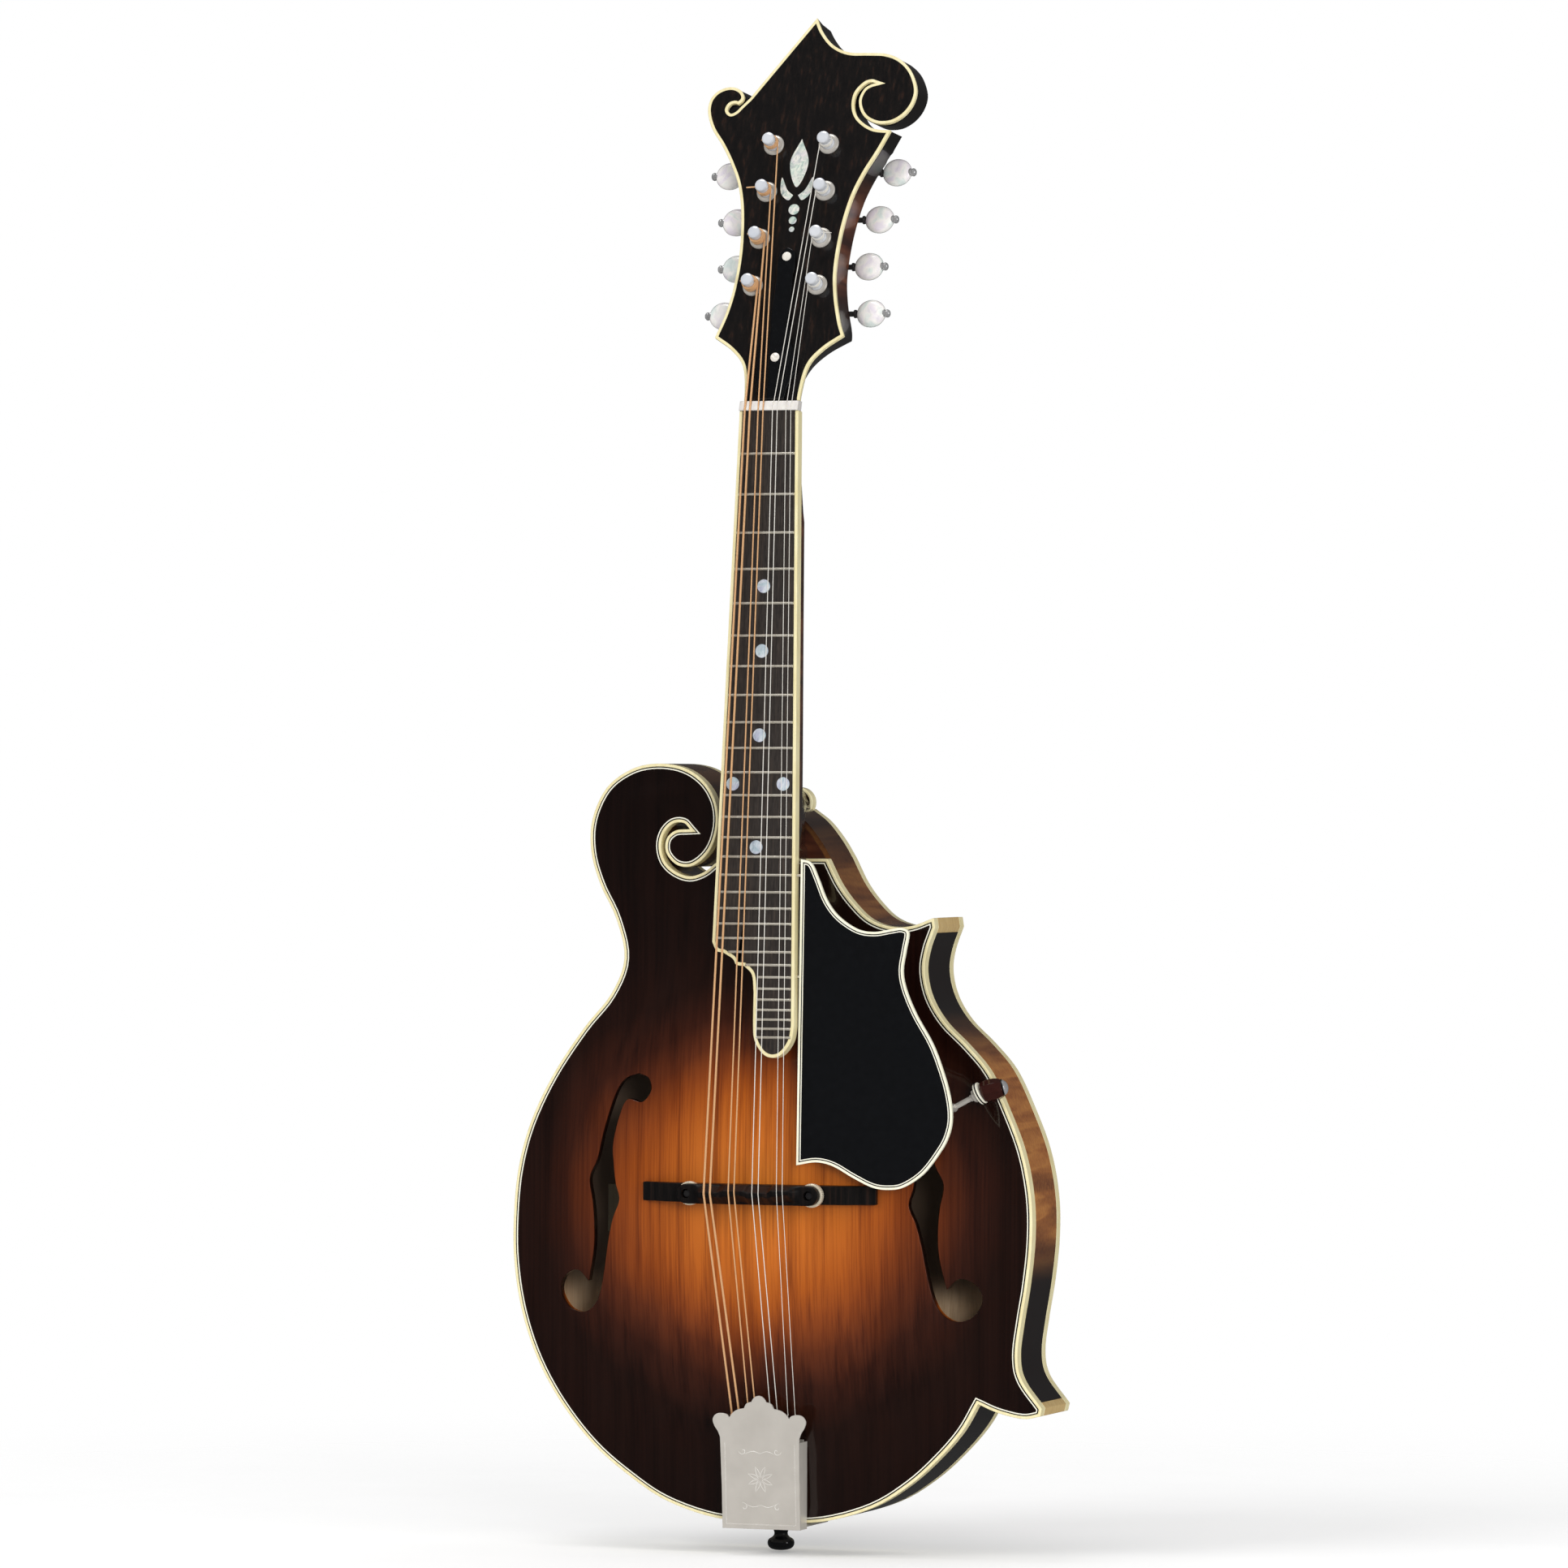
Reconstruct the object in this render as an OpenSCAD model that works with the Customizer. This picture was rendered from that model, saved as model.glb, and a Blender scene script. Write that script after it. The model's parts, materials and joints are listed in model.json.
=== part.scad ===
// Eight-string arch-top mandolin with a body scroll, two body points and a
// sliding tailpiece cover. It stands upright: +Z runs from the nut towards the
// headstock, the front faces -Y and +X is the treble side. The origin lies on
// the centre line at the body-side edge of the nut, level with the rim's front.

/* [Strings and neck] */
// Scale length from nut to bridge, without compensation
scale_len = 352.4; // [352:0.1:353]
// Extra string length at the bridge
bridge_compensation = 4.6; // [3:0.1:6]
// Width of the fingerboard at the nut
nut_width = 28.6; // [28:0.1:30]
// Growth of the fingerboard's half width per millimetre of length
board_taper = 0.0233; // [0.022:0.0001:0.024]
// Backward lean of the neck against the rim plane, in degrees
neck_tilt = 4.3; // [4:0.1:4.5]
// Backward lean of the headstock against the neck, in degrees
head_tilt = 13.7; // [13:0.1:14]
// Number of frets
fret_count = 29; // [29]

/* [Body] */
// Depth of the body at its edge, front binding to back binding
rim_depth = 41.5; // [40:0.5:44]
// Height of the front arch above the rim plane
front_arch = 16; // [15:0.5:16.5]
// Height of the back arch
back_arch = 13; // [11:0.5:15]
// Thickness of the carved front and back
plate_t = 4.5; // [4:0.5:5]
// Thickness of the bent ribs
rib_t = 2.4; // [2:0.1:3]
// Height of the edge binding
binding_h = 6; // [5:0.5:6]
// Width of the edge binding
binding_w = 1.5; // [1.2:0.1:2]

/* [Headstock and tuners] */
// Thickness of the headstock's wood
head_t = 14; // [13:0.5:15]
// Thickness of the black overlay
overlay_t = 2; // [1.5:0.1:2.5]
// Distance between neighbouring tuner posts
post_pitch = 23.2; // [23:0.1:23.4]
// Radius of a tuner post
post_r = 3; // [2.8:0.1:3.1]
// Number of teeth on a tuner gear
gear_teeth = 14; // [14]
// Distance from a post's axis to its worm's axis
worm_offset = 6.8; // [6.7:0.1:7]

/* [Bridge and tailpiece] */
// Half length of the bridge foot
bridge_half = 56.5; // [54:0.5:57]
// Distance of each bridge post from the centre line
bridge_post_x = 29.5; // [29:0.5:30]
// Radius of the bridge posts
bridge_post_r = 2; // [1.8:0.1:2.1]
// Radius of the height adjusting thumbwheels
wheel_r = 5; // [4.5:0.1:7.5]

/* [Hidden] */
$fn = 48;

// Colours
spruce = [0.55, 0.25, 0.08];
maple = [0.30, 0.10, 0.04];
cream = [0.93, 0.86, 0.66];
ebony = [0.06, 0.05, 0.05];
pearl = [0.85, 0.88, 0.88];
nickel = [0.78, 0.77, 0.74];
wood = [0.75, 0.58, 0.38];
bronze = [0.80, 0.48, 0.25];

// ---- Curves ----------------------------------------------------------------

// One point of a Catmull-Rom span from b to c
function span_point(a, b, c, d, t) =
    0.5 * (2 * b + (c - a) * t + (2 * a - 5 * b + 4 * c - d) * t * t
           + (3 * b - a - 3 * c + d) * t * t * t);
// Smooth curve through p, without its last point
function smooth(p, n = 5) =
    let (m = len(p))
    [for (i = [0:m - 2]) for (j = [0:n - 1])
        span_point(i == 0 ? 2 * p[0] - p[1] : p[i - 1], p[i], p[i + 1],
                   i == m - 2 ? 2 * p[m - 1] - p[m - 2] : p[i + 2], j / n)];

// ---- Body outlines, seen from the front: [x, z] -----------------------------

heel_z = -204.5;          // where the front plate meets the neck
bottom_z = -508.5;        // lowest point of the body
horn_tip = [[78.5, -231], [79.2, -235.5]];
point_tip = [[131, -452.5], [130.2, -456]];

// Treble side: upper cutaway, waist, lower point, then the lower bout
treble_side = concat(
    smooth([[27, heel_z], [33, -216], [40, -225], [48, -232], [58, -235.3], [68, -234.8],
            horn_tip[0]]),
    [horn_tip[0]],
    smooth([horn_tip[1], [75.4, -246], [74.2, -256], [77, -267.5], [84, -278.5], [95, -289],
            [105.5, -301], [114, -318], [121.5, -337], [125.5, -357], [126, -376],
            [124, -396], [121, -414], [119.2, -429], [121.5, -440], point_tip[0]]),
    [point_tip[0]],
    smooth([point_tip[1], [122, -457.4], [110, -455], [100.5, -451.3]]),
    smooth([[100.5, -451.3], [93, -464], [82, -476.5], [68, -489], [50, -500], [26, -507],
            [0, bottom_z]]));
// Bass side: lower bout, waist, up over the scroll and round its coil
bass_side = concat(
    smooth([[0, bottom_z], [-26, -507], [-50, -500], [-68, -489.5], [-86, -475.5], [-102, -457],
            [-114, -437], [-122, -415], [-126, -392], [-126.3, -370], [-124, -348],
            [-118, -327], [-107, -305], [-92, -283.5], [-78.5, -267.5], [-72, -251],
            [-76, -233], [-84, -217], [-88.5, -202], [-88, -187], [-81, -172.5],
            [-69, -164], [-56, -161.3], [-43, -163.2], [-33, -169.5], [-27.2, -179],
            [-26.2, -190], [-30, -201], [-38, -208], [-46, -208], [-51.5, -202.5],
            [-51.5, -196], [-47, -192], [-40, -191.4]]),
    smooth([[-40, -191.4], [-43, -188.6], [-48, -188.8], [-52.3, -192.8], [-54, -199],
            [-52.2, -206], [-47, -210.8], [-40, -213], [-33, -211], [-27, -206.5]]));
// The treble side of the ribs runs on past the front plate to the heel
heel_treble = smooth([[7, -182], [15, -188], [22, -196.5], [27, heel_z]]);
heel_bass = smooth([[-27, -206.5], [-20, -200.5], [-13, -191], [-7, -182]]);

module front_outline() polygon(concat([[20, heel_z]], treble_side, bass_side, [[-24, heel_z]]));
module back_outline() polygon(concat(heel_treble, treble_side, bass_side, heel_bass, [[-7, -182]]));
module button_outline() translate([0, -179]) circle(r = 7);

// Stands a flat [x, z] shape up between two depths
module slab(y_front, y_back)
    translate([0, y_back, 0]) rotate([90, 0, 0]) linear_extrude(y_back - y_front) children();
// Lays a cylinder along Y, its front end at y
module y_cylinder(r, y, h) translate([0, y, 0]) rotate([-90, 0, 0]) cylinder(r = r, h = h);

// ---- Arches -----------------------------------------------------------------

bridge_z = -(scale_len + bridge_compensation);
arch_z = -362;
arch_reach = 113;
function arch_r(h) = (arch_reach * arch_reach + h * h) / (2 * h);
front_r = arch_r(front_arch);
back_r = arch_r(back_arch);
module arch_ball(r, y) translate([0, y, arch_z]) rotate([90, 0, 0]) sphere(r = r, $fn = 240);
module front_ball(grow = 0) arch_ball(front_r + grow, front_r - front_arch);
module back_ball(grow = 0) arch_ball(back_r + grow, rim_depth + back_arch - back_r);

// Left f-hole, seen from the front
f_hole_points = concat(
    smooth([[-61, -303.5], [-68, -306], [-73, -313], [-78.5, -329], [-82, -343], [-86, -352],
            [-84.3, -363], [-83.5, -374], [-84, -385], [-87, -399.5]]),
    smooth([[-87, -399.5], [-93, -394.5], [-100, -397.5], [-102.5, -404.5], [-98, -412],
            [-90.5, -414], [-84.5, -410.5], [-80.8, -403.5], [-78, -391], [-76.2, -380.5],
            [-73.6, -370], [-70.3, -361.5], [-72.2, -354], [-73.4, -344.5], [-73.8, -336],
            [-71, -324], [-66.8, -315.5], [-59, -316.5], [-54.5, -311], [-56, -305.5],
            [-61, -303.5]]));
module f_hole() polygon(f_hole_points);

module soundboard() color(spruce) difference() {
    union() {
        slab(0, binding_h) offset(delta = -binding_w) front_outline();
        intersection() {
            front_ball();
            slab(-front_arch - 1, 1) translate([0, arch_z]) circle(r = arch_reach + 2);
        }
    }
    front_ball(-plate_t);
    slab(-front_arch - 2, binding_h + 1) {
        f_hole();
        mirror([1, 0]) f_hole();
    }
    tail_shanks();
}
module back_plate() color(maple) difference() {
    union() {
        slab(rim_depth - binding_h, rim_depth) {
            offset(delta = -binding_w) back_outline();
            offset(delta = -binding_w) button_outline();
        }
        intersection() {
            back_ball();
            slab(rim_depth - 1, rim_depth + back_arch + 1)
                translate([0, arch_z]) circle(r = arch_reach + 2);
        }
    }
    back_ball(-plate_t);
}
pin_y = 16;
pin_r = 3.2;
fit_gap = 0.05;                           // between a pin or a rod and its hole
tail_t = 1.2;            // thickness of the tailpiece's plate
tail_z = -480;           // where the plate rises off the front
pin_z = bottom_z - tail_t;
screw_r = 1.3;
// Shanks of the tailpiece's screws: two run up into the tail block, one into the front
module tail_shanks() {
    for (x = [-12, 12]) translate([x, binding_h + 2, pin_z]) cylinder(r = screw_r, h = 12);
    translate([0, 0, tail_z - 10]) y_cylinder(screw_r, -tail_t, tail_t + 5);
}
// The end pin goes through the tail block and the rib
module tail_holes() {
    translate([0, pin_y, bottom_z - 3]) cylinder(r = pin_r + fit_gap, h = 15);
    tail_shanks();
}
module rim_ring(w) difference() {
    back_outline();
    offset(delta = -w) back_outline();
}
module tip_zone() {
    area(77.3, -238, 80.3, -229);
    area(128.8, -458, 131.8, -450);
}
module ribs() color(maple) difference() {
    slab(binding_h, rim_depth - binding_h) rim_ring(rib_t);
    slab(0, rim_depth) tip_zone();
    tail_holes();
}
module point_caps() color(cream) slab(binding_h, rim_depth - binding_h) intersection() {
    rim_ring(rib_t);
    tip_zone();
}
module top_binding() color(cream) slab(0, binding_h) difference() {
    front_outline();
    offset(delta = -binding_w) front_outline();
}
module back_binding() color(cream) slab(rim_depth - binding_h, rim_depth) difference() {
    union() {
        back_outline();
        button_outline();
    }
    offset(delta = -binding_w) back_outline();
    offset(delta = -binding_w) button_outline();
}
lining_w = 5;
lining_h = 6;
head_block_z = -226;     // lower end of the head block
linings_z = -240;        // upper end of the linings
horn_block_z = -243;     // lower end of the block in the horn
point_block_z = -462;    // lower end of the block in the lower point
// Rectangle from x0, z0 to x1, z1
module area(x0, z0, x1, z1) translate([x0, z0]) square([x1 - x0, z1 - z0]);
module below(z) area(-140, bottom_z - 10, 140, z);
module linings() color(wood) for (y = [binding_h, rim_depth - binding_h - lining_h])
    slab(y, y + lining_h) difference() {
        intersection() {
            offset(delta = -rib_t) back_outline();
            below(linings_z);
        }
        offset(delta = -rib_t - lining_w) back_outline();
        offset(delta = 0.1) tail_block_shape();
        offset(delta = 0.1) point_block_shape();
    }
module head_block() color(wood) slab(binding_h, rim_depth - binding_h) difference() {
    offset(delta = -rib_t) back_outline();
    below(head_block_z);
    area(-140, -250, -72, -190);
    area(40, -250, 100, -190);
}
module tail_block_shape() intersection() {
    offset(delta = -rib_t) back_outline();
    area(-30, bottom_z, 30, bottom_z + 22);
}
module point_block_shape() intersection() {
    offset(delta = -rib_t) back_outline();
    union() {
        area(55, horn_block_z, 85, horn_block_z + 20);
        area(104, point_block_z, 134, point_block_z + 26);
    }
}
module tail_block() color(wood) difference() {
    slab(binding_h, rim_depth - binding_h) tail_block_shape();
    tail_holes();
}
module point_blocks() color(wood) slab(binding_h, rim_depth - binding_h) point_block_shape();
module tone_bars() color(spruce) difference() {
    intersection() {
        slab(-front_arch, binding_h) for (side = [-1, 1])
            translate([side * 26, arch_z]) rotate(side * 6) square([6, 180], center = true);
        front_ball(-plate_t);
    }
    translate([0, 6, 0]) front_ball(-plate_t);
}
module label() color([0.9, 0.85, 0.7]) difference() {
    intersection() {
        slab(rim_depth - 5, rim_depth + back_arch)
            translate([-78, -368]) square([34, 22], center = true);
        back_ball(-plate_t);
    }
    translate([0, -0.4, 0]) back_ball(-plate_t);
}

// ---- Neck and headstock frames ----------------------------------------------
// In both frames Y = 0 is the front face; Z runs along the piece from the nut.

nut_y = -5.5;            // fingerboard face at the nut, against the rim plane
head_drop = 2;           // step from the fingerboard down to the headstock face
module neck_frame() translate([0, nut_y, 0]) rotate([-neck_tilt, 0, 0]) children();
module head_frame()
    neck_frame() translate([0, head_drop, 0]) rotate([-head_tilt, 0, 0]) children();
function lean(p, a) = [p.x, p.y * cos(a) + p.z * sin(a), -p.y * sin(a) + p.z * cos(a)];
function neck_point(p) = lean(p, neck_tilt) + [0, nut_y, 0];
function head_point(p) = neck_point(lean(p, head_tilt) + [0, head_drop, 0]);
// Round bar between two points
module bar(a, b, r) {
    d = b - a;
    translate(a) rotate([0, acos(d.z / norm(d)), atan2(d.y, d.x)])
        cylinder(r = r, h = norm(d));
}
// Skin over a list of rings that all have the same number of points
module loft(rings) {
    n = len(rings[0]);
    m = len(rings);
    polyhedron(
        points = [for (ring = rings) each ring],
        faces = concat(
            [[for (i = [0:n - 1]) i], [for (i = [n - 1:-1:0]) (m - 1) * n + i]],
            [for (j = [0:m - 2]) for (i = [0:n - 1])
                [j * n + i, (j + 1) * n + (i + 1) % n, j * n + (i + 1) % n]],
            [for (j = [0:m - 2]) for (i = [0:n - 1])
                [j * n + i, (j + 1) * n + i, (j + 1) * n + (i + 1) % n]]));
}

// ---- Fingerboard --------------------------------------------------------------

board_t = 5.5;
edge_w = 1.6;
function board_half(z) = nut_width / 2 - board_taper * z;
function fret_z(n) = -scale_len * (1 - pow(2, -n / 12));
module board_outline() polygon(concat(
    [[board_half(4), 4]], [[board_half(-281), -281]],
    smooth([[board_half(-281), -281], [19.6, -288], [15.5, -293.8], [10.8, -295.6],
            [6, -293.8], [2, -288], [1, -281], [0.8, -266]]),
    smooth([[0.8, -266], [-0.3, -258], [-4.2, -254]]),
    smooth([[-4.2, -254], [-8, -253.5], [-9.8, -250.8], [-14.5, -248]]),
    smooth([[-14.5, -248], [-17.8, -247.2], [-20.1, -243]]),
    [[-board_half(-243), -243], [-board_half(4), 4]]));
module below_nut() area(-30, -300, 30, 0);
module fingerboard() color(ebony) neck_frame() difference() {
    slab(0, board_t) intersection() {
        offset(delta = -edge_w) board_outline();
        below_nut();
    }
    marker_discs(1);
}
module fingerboard_binding() color(cream) neck_frame() slab(0, board_t) intersection() {
    difference() {
        board_outline();
        offset(delta = -edge_w) board_outline();
    }
    below_nut();
}
// Where a fret starts on the bass side: the last ones sit on the narrow tongue
function fret_start(n) = n <= 20 ? -board_half(fret_z(n)) + edge_w : n == 21 ? -12 : n == 22 ? -3.5 : 2.6;
fret_profile = [[0, -0.6], [-0.6, -0.5], [-0.95, -0.2], [-0.95, 0.2], [-0.6, 0.5], [0, 0.6]];
module frets() color(nickel) neck_frame() for (n = [1:fret_count])
    translate([fret_start(n), 0, fret_z(n)]) rotate([90, 0, 90])
        linear_extrude(board_half(fret_z(n)) - edge_w - fret_start(n)) polygon(fret_profile);
marker_frets = [5, 7, 10, 12, 12, 15];
marker_x = [0, 0, 0, -12.2, 12.2, 0];
module marker_discs(depth) for (i = [0:5])
    translate([marker_x[i], 0, (fret_z(marker_frets[i]) + fret_z(marker_frets[i] - 1)) / 2])
        y_cylinder(3.1, 0, depth);
module position_markers() color(pearl) neck_frame() marker_discs(1);
module nut() color(pearl) neck_frame() translate([-nut_width / 2, 0, 0]) rotate([90, 0, 90])
    linear_extrude(nut_width) polygon([[-1.4, 0], [-0.2, 4.5], [4.9, 4.5], [3.9, 0]]);

// ---- Neck -----------------------------------------------------------------------

// Half round neck ring at height z: half width w, depth d below the fingerboard
function neck_ring(z, w, d) =
    [for (i = [0:16]) [w * cos(180 * i / 16), board_t + d * pow(sin(180 * i / 16), 0.85), z]];
// Heel ring at depth y: half width w, its nose reaching up to z
function heel_ring(y, w, z) =
    [for (i = [0:16]) [w * cos(180 * i / 16), y, heel_z + (z - heel_z) * pow(sin(180 * i / 16), 0.6)]];
module neck_wood() {
    neck_frame() loft([for (v = [[-200, 18], [-150, 17.5], [-100, 16.5], [-50, 16], [0, 15.5]])
        neck_ring(v[0], board_half(v[0]), v[1])]);
    loft([for (v = [[rim_depth - binding_h, 7.5, -172.2], [26, 9, -171.5], [16, 11.5, -168.5],
                    [8, 14, -163], [0, 16, -152], [-14, 16.5, -140]])
        heel_ring(v[0], v[1], v[2])]);
    neck_frame() slab(board_t, 22) translate([-17, -238]) square([34, 40]);
    head_frame() slab(overlay_t, overlay_t + head_t) head_outline();
}
module neck() color(maple) difference() {
    neck_wood();
    neck_frame() translate([-60, -20, -310]) cube([120, 20 + board_t, 310]);
    slab(binding_h, rim_depth) back_outline();
    slab(0, binding_h + 20) front_outline();
    neck_frame() rod_space(fit_gap);
    head_frame() nut_pocket(0);
    head_frame() for (i = [0:7]) translate([post_x(i), 0, post_z(i)]) y_cylinder(4, 0, 20);
    head_frame() for (i = [3, 7]) translate([side_of(i) * knob_reach[3], gear_y, post_z(i) - worm_offset])
        sphere(r = button_r + 0.3);
}
rod_y = 10.5;
rod_r = 2.4;
module rod_space(gap) translate([0, rod_y, -185]) cylinder(r = rod_r + gap, h = 195);
module truss_rod() color(nickel) neck_frame() rod_space(0);
module nut_pocket(y) translate([-4.4, y, 6]) cube([8.8, 13, 15]);
module truss_rod_nut() color([0.8, 0.65, 0.3]) neck_frame() translate([0, rod_y, 0]) difference() {
    translate([0, 0, 7]) cylinder(r = 3.6, h = 9, $fn = 6);
    translate([0, 0, 11]) cylinder(r = 1.6, h = 9);
    translate([0, 0, 6]) cylinder(r = rod_r + fit_gap, h = 4);
}

// ---- Headstock, in the headstock frame: [x, z] ------------------------------------

head_points = concat(
    smooth([[13.9, 0], [13.7, 9], [16, 22], [22.4, 30], [31.5, 36.4]]),
    smooth([[31.5, 36.4], [28.6, 44], [25.4, 57], [24, 70], [25, 88], [28, 104],
            [32.5, 116], [38, 126.5], [43, 137.3]]),
    smooth([[43, 137.3], [36.8, 137.8], [32.8, 139], [28.6, 141.7], [25.4, 145.2],
            [23.7, 150.2], [24.2, 156], [27.6, 160.3], [30.6, 161.5], [32.8, 160.9]]),
    smooth([[32.8, 160.9], [30.4, 160.2], [27.6, 158.2], [25.7, 153.6], [26.4, 148.8],
            [29.2, 144.3], [33.6, 141.5], [38.2, 140.5], [43.9, 141.4], [49.3, 145.2],
            [52.7, 151], [53.3, 158], [49.5, 166.8],
            [43.2, 172.8], [36, 175.6], [28, 176.2], [18, 176.8], [10, 180.6],
            [4, 187.5], [0.5, 194.5]]),
    [[0.5, 194.5]],
    smooth([[-28.2, 155], [-32, 151], [-34.2, 148.6], [-36.7, 147.6], [-38.5, 149.5],
            [-37.5, 151.9], [-35.4, 152.6], [-33.6, 152]]),
    smooth([[-33.6, 152], [-31.6, 153.8], [-31.2, 156.2], [-33, 159], [-36.8, 160.8],
            [-41.2, 160.5], [-45.4, 158.2], [-48, 154], [-48.1, 148], [-45, 140],
            [-39, 131.5], [-33.5, 122], [-28.8, 111.5], [-25.8, 98], [-24.3, 80],
            [-25, 63], [-27.4, 49], [-31.5, 36.4]]),
    smooth([[-31.5, 36.4], [-22.4, 30], [-16, 22], [-13.7, 9], [-13.9, 0]]),
    [[-13.9, 0]]);
module head_outline() polygon(head_points);
module above_nut() area(-60, 5.2, 60, 205.2);
module headstock_binding() color(cream) head_frame() slab(0, overlay_t) intersection() {
    difference() {
        head_outline();
        offset(delta = -binding_w) head_outline();
    }
    above_nut();
}
module headstock_overlay() color(ebony) head_frame() difference() {
    slab(0, overlay_t) intersection() {
        offset(delta = -binding_w) head_outline();
        above_nut();
    }
    nut_pocket(-1);
    for (i = [0:7]) translate([post_x(i), 0, post_z(i)]) y_cylinder(4, -1, 5);
    slab(-1, 0.8) inlay_shape();
}
// Plain ornament: a lozenge between two leaves, over three small discs
module inlay_shape() {
    polygon(smooth([[0, 134], [-4.5, 122], [0, 110], [4.5, 122], [0, 134]], 8));
    for (side = [-1, 1])
        polygon([for (p = smooth([[1.2, 106], [4.5, 109], [7.6, 115], [7.4, 107.5],
                                  [3.5, 103.6], [1.2, 106]])) [side * p.x, p.y]]);
    for (v = [[99, 2.6], [93.6, 1.9], [89.2, 1.3]]) translate([0, v[0]]) circle(r = v[1]);
}
module headstock_inlay() color(pearl) head_frame() slab(0, 0.8) inlay_shape();
module cover_screws(r, y, h) for (z = [25.5, 75]) translate([0, 0, z]) y_cylinder(r, y, h);
cover_t = 2;
bell_side = smooth([[6.4, 5.4], [7.6, 12], [10.6, 19], [10.4, 25], [7, 32.5], [5, 42], [4.2, 55],
                    [4, 66], [4.4, 72], [3.2, 77.5], [0, 79.5]]);
module bell_outline() polygon(concat(
    bell_side, [[0, 79.5]], [for (i = [len(bell_side) - 1:-1:0]) [-bell_side[i].x, bell_side[i].y]]));
module truss_rod_cover() color(ebony) head_frame() difference() {
    slab(-cover_t, 0) bell_outline();
    cover_screws(1.1, -cover_t - 1, cover_t + 2);
}
module truss_rod_cover_screws() color(nickel) head_frame() {
    cover_screws(1.1, -cover_t, cover_t);
    cover_screws(2, -cover_t - 0.9, 0.9);
}

// ---- Tuners: 0 to 3 on the bass side from the nut up, 4 to 7 on the treble side -----

first_post_z = 61.5;
function side_of(i) = i < 4 ? -1 : 1;
function post_x(i) = side_of(i) * (15.7 - 0.75 * (i % 4));
function post_z(i) = first_post_z + post_pitch * (i % 4);
knob_reach = [37, 33.4, 36, 42];          // button centres from the centre line
back_face = overlay_t + head_t;
tuner_plate_t = 1.2;
gear_y = back_face + 4;                   // middle of the gears, seen from the face
gear_t = 2.2;
gear_mean_r = 4.45;
gear_wave = 0.55;
pitch_r = 4.7;
worm_lead = 2 * PI * pitch_r / gear_teeth;
worm_len = 5.2;
worm_core_r = 1.8;
worm_throw = 0.6;
worm_end = 2.85;                          // the shaft begins inside the shoulders
shoulder_r = 2.42;
shoulder_t = 0.4;
shaft_r = 1.5;
button_r = 6.4;
button_t = 6;
lug_x = [-4.6, 3];                        // where a worm's two lugs start
post_top = -9.6;

module tuner_plates() color(nickel) head_frame() for (side = [-1, 1]) {
    difference() {
        slab(back_face, back_face + tuner_plate_t) hull() for (z = [-11, 3 * post_pitch + 7])
            translate([side * (15.7 - 0.75 * z / post_pitch), first_post_z + z]) circle(r = 6.5, $fn = 32);
        for (i = [0:7]) if (side_of(i) == side)
            translate([post_x(i), 0, post_z(i)]) y_cylinder(post_r + 0.1, 0, 30);
    }
    for (i = [0:7]) if (side_of(i) == side) for (x = lug_x) difference() {
        translate([post_x(i) + x, back_face + tuner_plate_t, post_z(i) - worm_offset - 2.1])
            cube([1.6, gear_y + 2.4 - back_face - tuner_plate_t, 4.2]);
        translate([post_x(i) + x - 1, gear_y, post_z(i) - worm_offset])
            rotate([0, 90, 0]) cylinder(r = shaft_r + 0.06, h = 4);
    }
}
module tuner_plate_screws() color(nickel) head_frame() for (side = [-1, 1]) for (k = [0, 2, 3])
    translate([side * (20 - 0.75 * (k + 0.5)), back_face + tuner_plate_t,
               first_post_z + post_pitch * (k + (k == 3 ? 0.3 : 0.5))])
        y_cylinder(1.5, 0, 0.9);
module tuner_bushings() color(nickel) head_frame() for (i = [0:7])
    translate([post_x(i), 0, post_z(i)]) rotate([-90, 0, 0]) rotate_extrude() {
        translate([post_r + 0.06, -1.2]) square([1.9 - 0.06, 1.2]);
        translate([post_r + 0.06, 0]) square([0.94, 8]);
    }
module gear_shape() polygon([for (k = [0:gear_teeth * 8 - 1])
    let (a = k * 45 / gear_teeth, r = gear_mean_r - gear_wave * cos(a * gear_teeth))
    [r * sin(a), -r * cos(a)]]);
wire_r = [0.5, 0.33, 0.14, 0.19];         // windings: G and D at the bass side, E and A
function string_r(i) = wire_r[floor((i % 4) / 2) + (i < 4 ? 0 : 2)];
module tuner_post(i) head_frame() translate([post_x(i), 0, post_z(i)]) {
    color(nickel) difference() {
        union() {
            y_cylinder(post_r, post_top, gear_y - gear_t / 2 - post_top);
            slab(gear_y - gear_t / 2, gear_y + gear_t / 2) gear_shape();
        }
        translate([-5, -6.6, 0]) rotate([0, 90, 0]) cylinder(r = 0.8, h = 10);
        y_cylinder(1.6, gear_y + gear_t / 2 - 0.8, 5);
    }
    color(nickel) y_cylinder(1.6, gear_y + gear_t / 2 - 0.8, 1.8);
    color(i < 4 ? bronze : nickel) for (k = [0:3])
        translate([0, -5.4 + k * (2 * string_r(i) + 0.03), 0]) rotate([90, 0, 0]) rotate_extrude()
            translate([post_r + string_r(i) + 0.01, 0]) circle(r = string_r(i), $fn = 16);
}
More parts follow.
